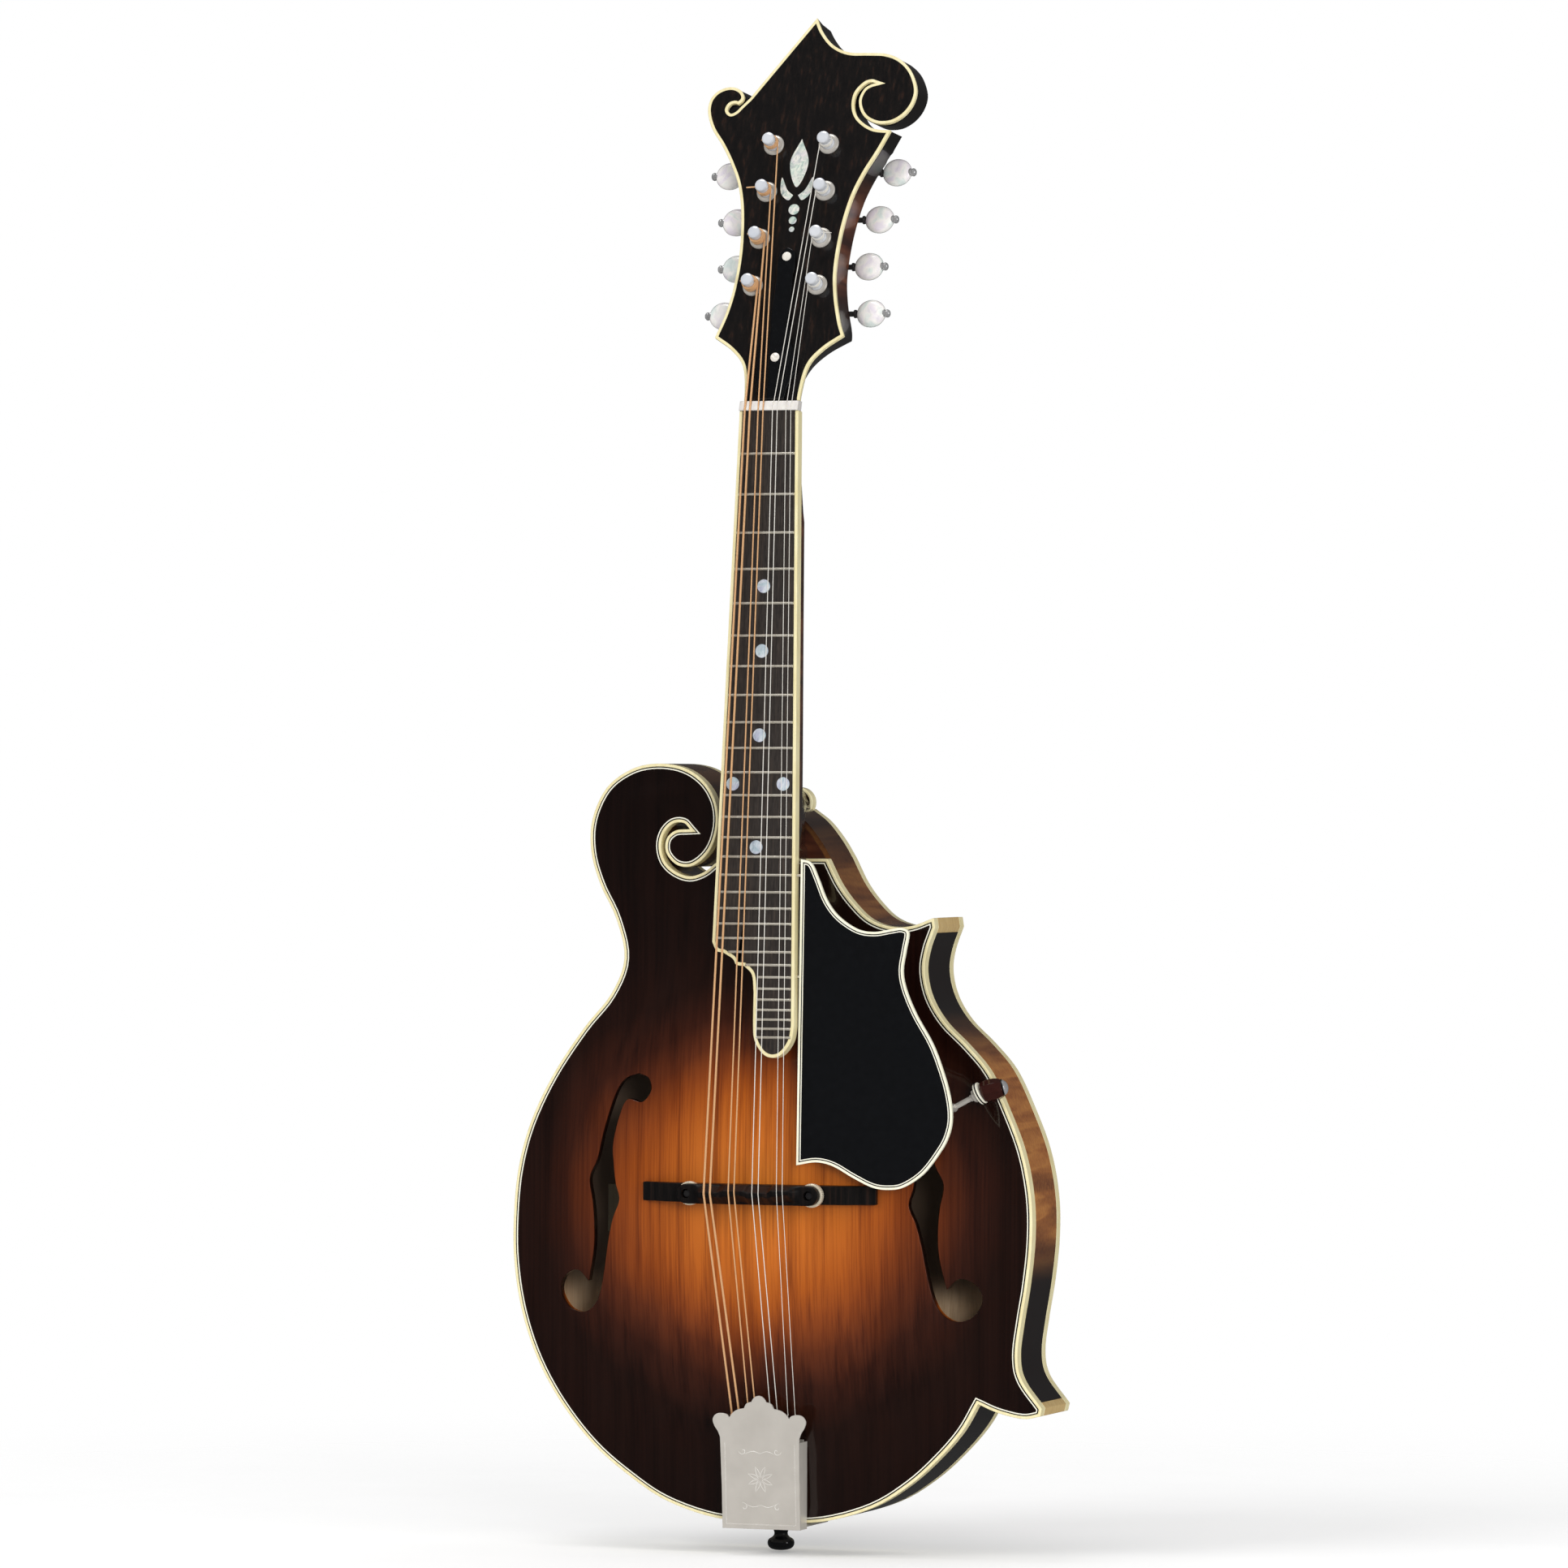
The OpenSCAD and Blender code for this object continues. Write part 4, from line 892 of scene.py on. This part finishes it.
bushings, plate_screws, bell_screws = Parts(), Parts(), Parts()
for i in range(8):
    tuner_post(i)
    tuner_knob(i)
    x, z = post_at(i)
    bushings.add(lathe([(3.06, 8), (4, 8), (4, 0.1), (4.9, 0.1), (4.9, -0.35), (4.7, -0.75), (4.2, -1.05),
                        (3.6, -1.2), (3.2, -1.12), (3.06, -0.9), (3.06, 8)], 40), HEAD @ shifted(x, 0, z))
for side in (-1, 1):
    for step, turn in ((0.5, 20), (2.5, 75), (3.3, 140)):
        x = side * (20 - POST_LEAN * (math.floor(step) + 0.5))
        plate_screws.add(screw(1.5, 0, -0.9, 0.4, turn),
                         HEAD @ shifted(x, 17.2, POST_Z + POST_STEP * step) @ turned(180, "X"))
for z, turn in ((25.5, 38), (75, 112)):
    bell_screws.add(screw(2.15, -1.98, -2.95, 0.55, turn), HEAD @ shifted(z=z))
    bell_screws.add(lathe([(0, -2), (0.9, -2), (0.7, 3), (0, 3.6)], 16), HEAD @ shifted(z=z))
bushings.piece("tuner_bushings", [NICKEL])
plate_screws.piece("tuner_plate_screws", [STEEL], sharp=30)
bell_screws.piece("truss_rod_cover_screws", [STEEL], sharp=30)


# ---- Frets, nut, bridge and strings ----

FRET_COUNT, FULL_FRETS, EDGE_W = 29, 20, 1.6
SADDLE_TOP, SADDLE_FOOT, PAD_TOP, SHOULDER_TOP = -36.3, -27.35, -31.8, -30.2
BRIDGE_POST_X, SADDLE_HALF_W, SADDLE_BORE, SADDLE_STEP = 29.5, 4.5, 2.1, 0.42
WHEEL_R, WHEEL_Y, WHEEL_T, KNURLS = 5.5, -27.3, 3.0, 33
NUT_X = (-11.2, -8.7, -4.7, -2.3, 2.3, 4.6, 8.8, 11.2)
SADDLE_X = (-18.8, -15.8, -7.0, -4.2, 4.4, 7.4, 16.2, 19.0)
HOOK_X = (-15.0, -11.4, -7.2, -3.6, 3.4, 6.8, 11.4, 15.0)
CRESTS = ((-23, 0.5), (-13, 0.3), (-10, 1.2), (0, 1.2), (1.5, 0.6), (11.5, 0.6), (13, 1.7), (23, 1.7))
STRING_POST = (0, 1, 2, 3, 7, 6, 5, 4)
HOOK_Y, HOOK_Z = -4.5, -470.0
EYE_R, TWIST_LENGTH, TWIST_PITCH = 1.2, 11.0, 2.2
NUT_STRING = (-1.45, 0.35)


def make_frets():
    crown = np.array([(0.3, -0.55), (-0.3, -0.6), (-0.68, -0.44), (-0.9, -0.2), (-0.95, 0), (-0.9, 0.2),
                      (-0.68, 0.44), (-0.3, 0.6), (0.3, 0.55)])
    parts = Parts()
    for n in range(1, FRET_COUNT + 1):
        z = -SCALE_LEN * (1 - 2 ** (-n / 12))
        right = board_half(z) - EDGE_W - 0.02
        left = -right if n <= FULL_FRETS else {21: -12.0, 22: -3.5}.get(n, 2.6)
        rings = []
        for x, s in ((left, 0.3), (left + 0.2, 0.72), (left + 0.6, 0.95), (left + 1, 1), (right - 1, 1),
                     (right - 0.6, 0.95), (right - 0.2, 0.72), (right, 0.3)):
            y = np.where(crown[:, 0] < 0, crown[:, 0] * s, crown[:, 0])
            rings.append(columns(x, y, z + crown[:, 1]))
        parts.add(loft(rings), NECK)
    parts.piece("frets", [FRET_METAL], sharp=50)


def make_nut():
    cuts = [(x, string_r(STRING_POST[j]) + 0.05) for j, x in enumerate(NUT_X)]
    places = [np.linspace(-14.25, 14.25, 40)] + [x + w * np.linspace(-1, 1, 9) for x, w in cuts]
    rings = []
    for x in sorted(set(np.round(np.concatenate(places), 3))):
        depth = max([0.0] + [0.05 + math.sqrt(max(w * w - (x - c)**2, 0)) for c, w in cuts if abs(x - c) < w])
        top = -1.5 + depth + 0.5 * smoothstep(13.6, 14.3, abs(x))
        side = [(3.9, 0), (top + 0.3, 0), (top + 0.06, 0.12), (top, 0.35), (top + 0.15, 1.2), (top + 1, 3.9),
                (top + 1.2, 4.3), (top + 1.6, 4.5), (4.9, 4.5)]
        rings.append([(x, y, z) for y, z in side])
    Parts().add(loft(rings), NECK).piece("nut", [BONE], sharp=45)


def crest_at(x):
    """How far the saddle's crest is up the strings at that side place: it steps for each string."""
    return np.interp(x, *zip(*CRESTS))


def make_saddle():
    """Low round ends on the two posts, and a raised, stepped crest between them."""
    arc = np.linspace(-math.pi / 2, math.pi / 2, 17)
    line = np.linspace(BRIDGE_POST_X, -BRIDGE_POST_X, 60)[1:-1]
    half = np.vstack([columns(BRIDGE_POST_X + SADDLE_HALF_W * np.cos(arc), SADDLE_HALF_W * np.sin(arc)),
                      columns(line, SADDLE_HALF_W)])
    outline = np.vstack([half, -half])
    bores = [circle(SADDLE_BORE, side * BRIDGE_POST_X) for side in (-1, 1)]
    flat, tri = filled([outline, *bores], SADDLE_STEP)
    x, across = flat.T
    d = across - crest_at(x)
    ledge = 1.0 + 0.9 * np.abs(np.sin((x + 3.0) * math.pi / 11.5))
    ahead = np.where(d < 0.5, 0.2 * d, 0.1 + 1.9 * (d - 0.5))
    behind = 0.42 * np.minimum(-d, ledge) + 1.5 * np.maximum(-d - ledge, 0)
    high = SADDLE_TOP + np.where(d > 0, ahead, behind)
    edge = to_outline(flat, outline)
    low = PAD_TOP + 0.5 * (1 - smoothstep(0, 0.7, edge)) + 0.25 * (across / SADDLE_HALF_W)**2
    top = low + (np.minimum(high, SHOULDER_TOP) - low) * smoothstep(26.5, 20.5, np.abs(x))
    Parts().add(walled(flat, tri, top, SADDLE_FOOT), shifted(z=BRIDGE_Z)).piece(
        "bridge_saddle", [EBONY], bevel=0.12, limit=55, sharp=40)


def make_thumbwheel(node, x):
    """A knurled disc. The last number of each profile point is the depth of the knurls there."""
    half = [(WHEEL_R, 0.5, 0.24), (WHEEL_R - 0.12, 0.3, 0.08), (WHEEL_R - 0.55, 0, 0), (SADDLE_BORE, 0, 0)]
    profile = half[::-1] + [(r, WHEEL_T - y, cut) for r, y, cut in half]
    rings = []
    for k in range(KNURLS * 4):
        a, low = math.pi * k / (KNURLS * 2), k % 4 // 2
        ring = [(r - cut * low, y) for r, y, cut in profile]
        rings.append([(r * math.cos(a), y, r * math.sin(a)) for r, y in ring])
    Parts().add(loft(rings, closed=True), shifted(x, WHEEL_Y, BRIDGE_Z)).piece(node, [WHEEL_METAL])


def make_bridge_posts():
    turns = [(0, -30.0), (1.5, -30.0)]
    for y in np.arange(-29.6, -18.3, 0.7):
        turns += [(1.72, y), (1.98, y + 0.35)]
    turns += [(1.7, -17.95), (0, -17.95)]
    parts = Parts()
    for side in (-1, 1):
        parts.add(lathe(turns, 24), shifted(side * BRIDGE_POST_X, 0, BRIDGE_Z))
    parts.piece("bridge_posts", [DARK_STEEL], sharp=30)


def between(a, b, *shares):
    return [a + (b - a) * s for s in shares]


def make_strings(kind, js, material, node):
    """Each string has an eye, a twist and a tail up to the saddle, and its main length to the post."""
    tail, main = Parts(), Parts()
    for j in js:
        i = STRING_POST[j]
        r = string_r(i)
        wire = min(r, 0.25)
        x, z = post_at(i)
        hook = np.array((HOOK_X[j], HOOK_Y - 0.6, HOOK_Z + 1.6))
        crest = np.array((SADDLE_X[j], SADDLE_TOP - r + 0.1, BRIDGE_Z + crest_at(SADDLE_X[j])))
        nut = moved([(NUT_X[j], *NUT_STRING)], NECK)[0]
        post = moved([(x - side_of(i) * (WAIST_R + r), coil_start(i), z)], HEAD)[0]
        a = np.linspace(0, 2 * math.pi, 17)
        eye = columns(HOOK_X[j] + EYE_R * np.sin(a), HOOK_Y - 0.5, HOOK_Z - 1 - EYE_R * np.cos(a))
        tail.add(tube(eye, wire, 6))
        ahead = (crest - hook) / np.linalg.norm(crest - hook)
        across = np.array((1.0, 0, 0))
        up = np.cross(ahead, across)
        twist = []
        for s in np.linspace(0, TWIST_LENGTH, 45):
            a = 2 * math.pi * s / TWIST_PITCH
            twist.append(hook + ahead * s + (math.cos(a) * across + math.sin(a) * up) * (r + wire))
        tail.add(tube(twist, wire, 6))
        tail.add(tube([hook] + between(hook, crest, 0.25, 0.5, 0.75, 0.992) + [crest + (0, 0, 0.02)], r, 10))
        main.add(tube([crest - (0, 0, 0.02)] + between(crest, nut, 0.003, 0.25, 0.5, 0.75, 0.9975) + [nut]
                      + between(nut, post, 0.015, 0.5, 1.0), r, 10))
    o = tail.piece(node, [material], name=kind + "_strings_tail", sharp=60, bends=True)
    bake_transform(o)
    o = main.piece(node, [material], name=kind + "_strings", sharp=60, bends=True)
    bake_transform(o)


make_frets()
make_nut()
make_saddle()
make_bridge_posts()
make_thumbwheel("thumbwheel_bass", -BRIDGE_POST_X)
make_thumbwheel("thumbwheel_treble", BRIDGE_POST_X)
make_strings("wound", range(4), WRAP, "strings_wound")
make_strings("plain", range(4, 8), STEEL, "strings_plain")


# ---- Tailpiece, end pin and pickguard ----

COVER_FACE, BORDER_W = -0.8, 0.17
ROSETTE_Z, LEAVES = -487.5, 8
GUARD_T = 1.6
GUARD_LINES = ((0.0, 1.05, 0), (1.05, 1.55, 1), (1.55, 2.0, 2))
CLAMP_Y = -5.2
ROD_FROM, ROD_TO = np.array((90, CLAMP_Y, -317)), np.array((117, CLAMP_Y, -302.8))
BARREL_LEAN = (0.93, 0.26, 0.24)


def zigzag(corners, period, swing):
    """Points that swing to both sides of a line through corners."""
    out, sign = [], 1
    for a, b in zip(corners, corners[1:]):
        a, b = np.array(a, float), np.array(b, float)
        n = int(np.hypot(*(b - a)) / period * 2)
        side = np.array((-(b - a)[1], (b - a)[0])) / np.hypot(*(b - a))
        for k in range(n):
            out.append(a + (b - a) * k / n + side * swing * sign)
            sign = -sign
    return np.array(out)


def curl(x, z, size, turns, start, hand):
    """A scroll line that opens outwards from its eye."""
    t = np.linspace(0, 1, 26)
    a = math.radians(start) + hand * 2 * math.pi * turns * t
    r = size * (0.12 + 0.88 * t**1.4)
    return np.stack([x + r * np.cos(a), z + r * np.sin(a)], 1)


def make_cover():
    remade("tailpiece_cover", COVER_NICKEL, bevel=0.12, dissolve=1.0, limit=60, sharp=40)
    parts = Parts()

    def line_on_cover(line, radius, sides):
        parts.add(tube(columns(line[:, 0], COVER_FACE, line[:, 1]), radius, sides), COVER)

    def engrave(line, width):
        """A line that is thin at both ends."""
        line_on_cover(line, width * (0.35 + 0.65 * np.sin(np.linspace(0.1, math.pi - 0.1, len(line)))), 6)

    border = zigzag([(-16.9, -471), (-16.9, -508.3), (16.9, -508.3), (16.9, -471)], 1.0, 0.3)
    line_on_cover(border, BORDER_W / 2, 5)
    for side in (-1, 1):
        for z, up in ((-474.5, 1), (-500.5, -1)):
            engrave(curl(side * 8.2, z, 2.2, 0.9, 90 - 60 * side, side * up), 0.13)
            engrave(curve([(side * 7.2, z - 1.4 * up), (side * 3.5, z - 0.2 * up), (0, z - 1.2 * up)]), 0.11)
    for k in range(LEAVES):
        a = 2 * math.pi * (k + 0.5) / LEAVES
        for bend in (-1, 1):
            out, over = curve([(0.9, 0), (2.6, 0.75 * bend), (4.6, 0.55 * bend), (6.2, 0)], 5).T
            engrave(columns(out * math.cos(a) - over * math.sin(a),
                            ROSETTE_Z + out * math.sin(a) + over * math.cos(a)), 0.1)
    parts.piece("tailpiece_cover", [ENGRAVED_GLINT], name="cover_engraving", sharp=60, extra=True)


def make_tail_screws():
    parts = Parts()
    for x, turn in ((-12, 25), (12, 80)):
        seat = shifted(x, 8, PIN_Z) @ turned(-90, "X")
        parts.add(screw(2.4, 0, -1.0, 0.6, turn), seat @ turned(180, "X"))
        parts.add(lathe([(0, -7), (0.8, -6), (1.3, -4), (1.3, 0), (0, 0)], 16), seat)
    parts.add(screw(2.4, -1.2, -2.2, 0.6, 60), shifted(z=-490))
    parts.piece("tailpiece_screws", [STEEL], sharp=30)


def make_end_pin():
    profile = [(0, -12), (3.1, -12), (3.2, -11.8), (3.2, 0), (5.5, 0), (5.75, 0.3), (5.7, 0.8), (5.2, 1.4),
               (4.2, 2.3), (3.4, 3.3), (3.05, 4.4), (3.25, 5.5), (4.1, 6.4), (5.2, 7.0), (5.95, 7.8),
               (6.2, 8.8), (6.1, 9.9), (5.6, 10.9), (4.6, 11.7), (3.2, 12.15), (1.6, 12.35), (0, 12.4)]
    place = shifted(0, 16, PIN_Z) @ turned(-90, "X")
    Parts().add(lathe(profile, 56), place).piece("end_pin", [PIN_BLACK], sharp=60)


def make_pickguard():
    outer = max(rims("pickguard_binding", -1, frame_of=GUARD), key=lambda l: np.ptp(l[:, 1]))
    lines = [outer] + [inset(outer, end) for _, end, _ in GUARD_LINES]
    edge = Parts()
    for k, (_, _, material) in enumerate(GUARD_LINES):
        edge.add(plate(lines[k:k + 2], 0.02 if k else 0.0, GUARD_T), GUARD, material)
    edge.piece("pickguard_binding", [GUARD_CREAM, DARK_LINE, WHITE], name="pickguard_edge", sharp=50)
    Parts().add(plate(lines[-1:], 0.03, GUARD_T, 6.0), GUARD).piece("pickguard", [BLACK], sharp=50)


def along(start, ahead):
    """Places a shape turned about Y so that its +Y points ahead, at start."""
    y = Vector(ahead).normalized()
    x = y.orthogonal().normalized()
    return placed(x, y, x.cross(y), start)


def make_clamp():
    """A rod that screws into a block, on a stud down to the front. Pins hold the guard to the board."""
    ahead = (ROD_TO - ROD_FROM) / np.linalg.norm(ROD_TO - ROD_FROM)
    rod = along(ROD_FROM, ahead)
    metal = Parts()
    bar = [(0, -1.6), (1.25, -1.6), (1.25, 9.2), (1.55, 9.6), (1.55, 10.4), (1.25, 10.8), (1.25, 20), (0, 20)]
    metal.add(lathe(bar, 24), rod)
    metal.add(lathe([(0, 10.9), (2.6, 10.9), (3.05, 11.2), (3.05, 13.1), (2.6, 13.4), (0, 13.4)], 6), rod)
    metal.add(lathe([(0, -22.0), (2, -22.0), (2, CLAMP_Y + 0.8), (0, CLAMP_Y + 0.8)], 24),
              shifted(ROD_FROM[0], 0, ROD_FROM[2]))
    for z in (-212, -258):
        near = board_half(z) + 0.05
        pin = [(0, near), (0.5, near), (0.6, near + 0.15), (0.6, 21.4), (0, 21.4)]
        metal.add(lathe(pin, 16), GUARD @ shifted(0, GUARD_T / 2, z) @ turned(-90, "Z"))
    metal.piece("pickguard_rod", [NICKEL], sharp=30, bevel=0.08, segments=1)
    block = Parts()
    for r, y0, y1, material in ((5.1, 13.4, 14.2, 1), (5.35, 14.2, 14.75, 2), (5.2, 14.75, 15.6, 1)):
        collar = [(0, y0), (r - 0.2, y0), (r, y0 + 0.15), (r, y1 - 0.15), (r - 0.2, y1), (0, y1)]
        block.add(lathe(collar, 40), rod, material)
    barrel = along(ROD_FROM + ahead * 15.4, BARREL_LEAN) @ turned(12, "Y")
    sides = [(0, -1.0), (3.9, -0.6), (4.9, 0.8), (5.3, 2.8), (5.3, 6.0), (4.8, 8.2), (4.0, 9.6), (0, 9.8)]
    dome = [(0, 12.3), (1.2, 12.15), (2.3, 11.7), (3.1, 11.0), (3.55, 10.3), (3.6, 9.9), (0, 9.9)]
    block.add(lathe(sides, 8), barrel)
    block.add(lathe([(0, 9.4), (3.9, 9.4), (4.05, 9.7), (4.05, 10.1), (0, 10.1)]), barrel, 2)
    block.add(lathe(dome), barrel, 3)
    block.piece("pickguard_clamp", [CLAMP_WOOD, WHITE, DARK_LINE, BALL_METAL], sharp=24, bevel=0.18, limit=24)


make_cover()
make_tail_screws()
make_end_pin()
make_pickguard()
make_clamp()


# ---- Camera, floor and light ----

def linked(name, data):
    o = bpy.data.objects.new(name, data)
    bpy.context.scene.collection.objects.link(o)
    return o


def set_camera():
    """A long lens from 20 degrees towards the treble side, level with the body's shoulder."""
    aim, away, view_width = Vector((6.0, 0.0, -170.5)), 3800.0, 716.617
    swing, roll = math.radians(20.0), math.radians(0.2)
    ahead, up = Vector((-math.sin(swing), math.cos(swing), 0)), Vector((0, 0, 1))
    right = ahead.cross(up)
    across = right * math.cos(roll) + up * math.sin(roll)
    above = up * math.cos(roll) - right * math.sin(roll)
    data = bpy.data.cameras.new("camera")
    data.sensor_width = 36.0
    data.lens = data.sensor_width * away / view_width
    data.clip_start, data.clip_end = 0.1, 100
    camera = linked("camera", data)
    camera.matrix_world = placed(across, above, -ahead, (aim - ahead * away) * MM)
    bpy.context.scene.camera = camera


def set_floor():
    """A pale round floor that fades out towards its edge."""
    radius, segments = 1.8, 96
    data = bpy.data.meshes.new("floor")
    ring = [(x, y, CAD_BOX[0].z - 0.001) for x, y in circle(radius, n=segments)]
    data.from_pydata(ring, [], [list(range(segments))])
    floor = linked("floor", data)
    floor.visible_glossy = False
    look = Look("floor_pale", rough=0.8, specular=0.0)
    fleck = look.noise(0.02, detail=2.0)
    metres = look.maths("VectorMath", "LENGTH", look.maths("VectorMath", "MULTIPLY", look.mm, (MM, MM, 0)))
    look.set(Base_Color=look.ramp(fleck, (0.2, (246, 246, 246)), (0.8, (249, 249, 249))),
             Alpha=look.ramp(metres, (0.2, 1.0), (0.9, 0.0), ease="EASE"),
             Emission_Color=(1, 1, 1, 1), Emission_Strength=0.2)
    data.materials.append(look.mat)


def set_world():
    """White behind the object, soft light on it, and hardly any of it in glossy reflections."""
    world = bpy.data.worlds.new("studio")
    bpy.context.scene.world = world
    world.use_nodes = True
    nodes, links = world.node_tree.nodes, world.node_tree.links
    nodes.clear()

    def background(strength):
        n = nodes.new("ShaderNodeBackground")
        n.inputs["Color"].default_value = (1, 1, 1, 1)
        n.inputs["Strength"].default_value = strength
        return n.outputs[0]

    rays = nodes.new("ShaderNodeLightPath")
    shown = background(0.5)
    for ray, strength in (("Is Glossy Ray", 0.05), ("Is Camera Ray", 1.0)):
        mix = nodes.new("ShaderNodeMixShader")
        for socket, source in zip(mix.inputs, (rays.outputs[ray], shown, background(strength))):
            links.new(source, socket)
        shown = mix.outputs[0]
    links.new(shown, nodes.new("ShaderNodeOutputWorld").inputs[0])


def soft_box(name, place, aim, power, width, height, mirrored):
    data = bpy.data.lights.new(name, "AREA")
    data.shape = "RECTANGLE"
    data.energy, data.size, data.size_y = power, width, height
    o = linked(name, data)
    o.location = place
    o.rotation_mode = "QUATERNION"
    o.rotation_quaternion = (Vector(aim) - Vector(place)).to_track_quat("-Z", "Y")
    o.visible_glossy = mirrored


set_camera()
set_floor()
set_world()
bpy.context.scene.view_settings.view_transform = "Standard"
soft_box("key", (-2.2, -3.0, 1.6), (0, 0, -0.2), 60, 1.8, 2.4, mirrored=False)
soft_box("fill", (2.4, -2.4, 0.3), (0, 0, -0.2), 30, 1.6, 2.4, mirrored=False)
soft_box("front", (1.75, -2.9, 0.15), (0, 0, -0.35), 26, 0.7, 0.7, mirrored=False)
soft_box("side", (2.8, -0.8, 0.3), (0, 0, -0.2), 8, 0.6, 1.8, mirrored=True)
soft_box("top", (-0.4, -0.5, 2.6), (0, 0, -0.2), 14, 1.2, 1.2, mirrored=True)
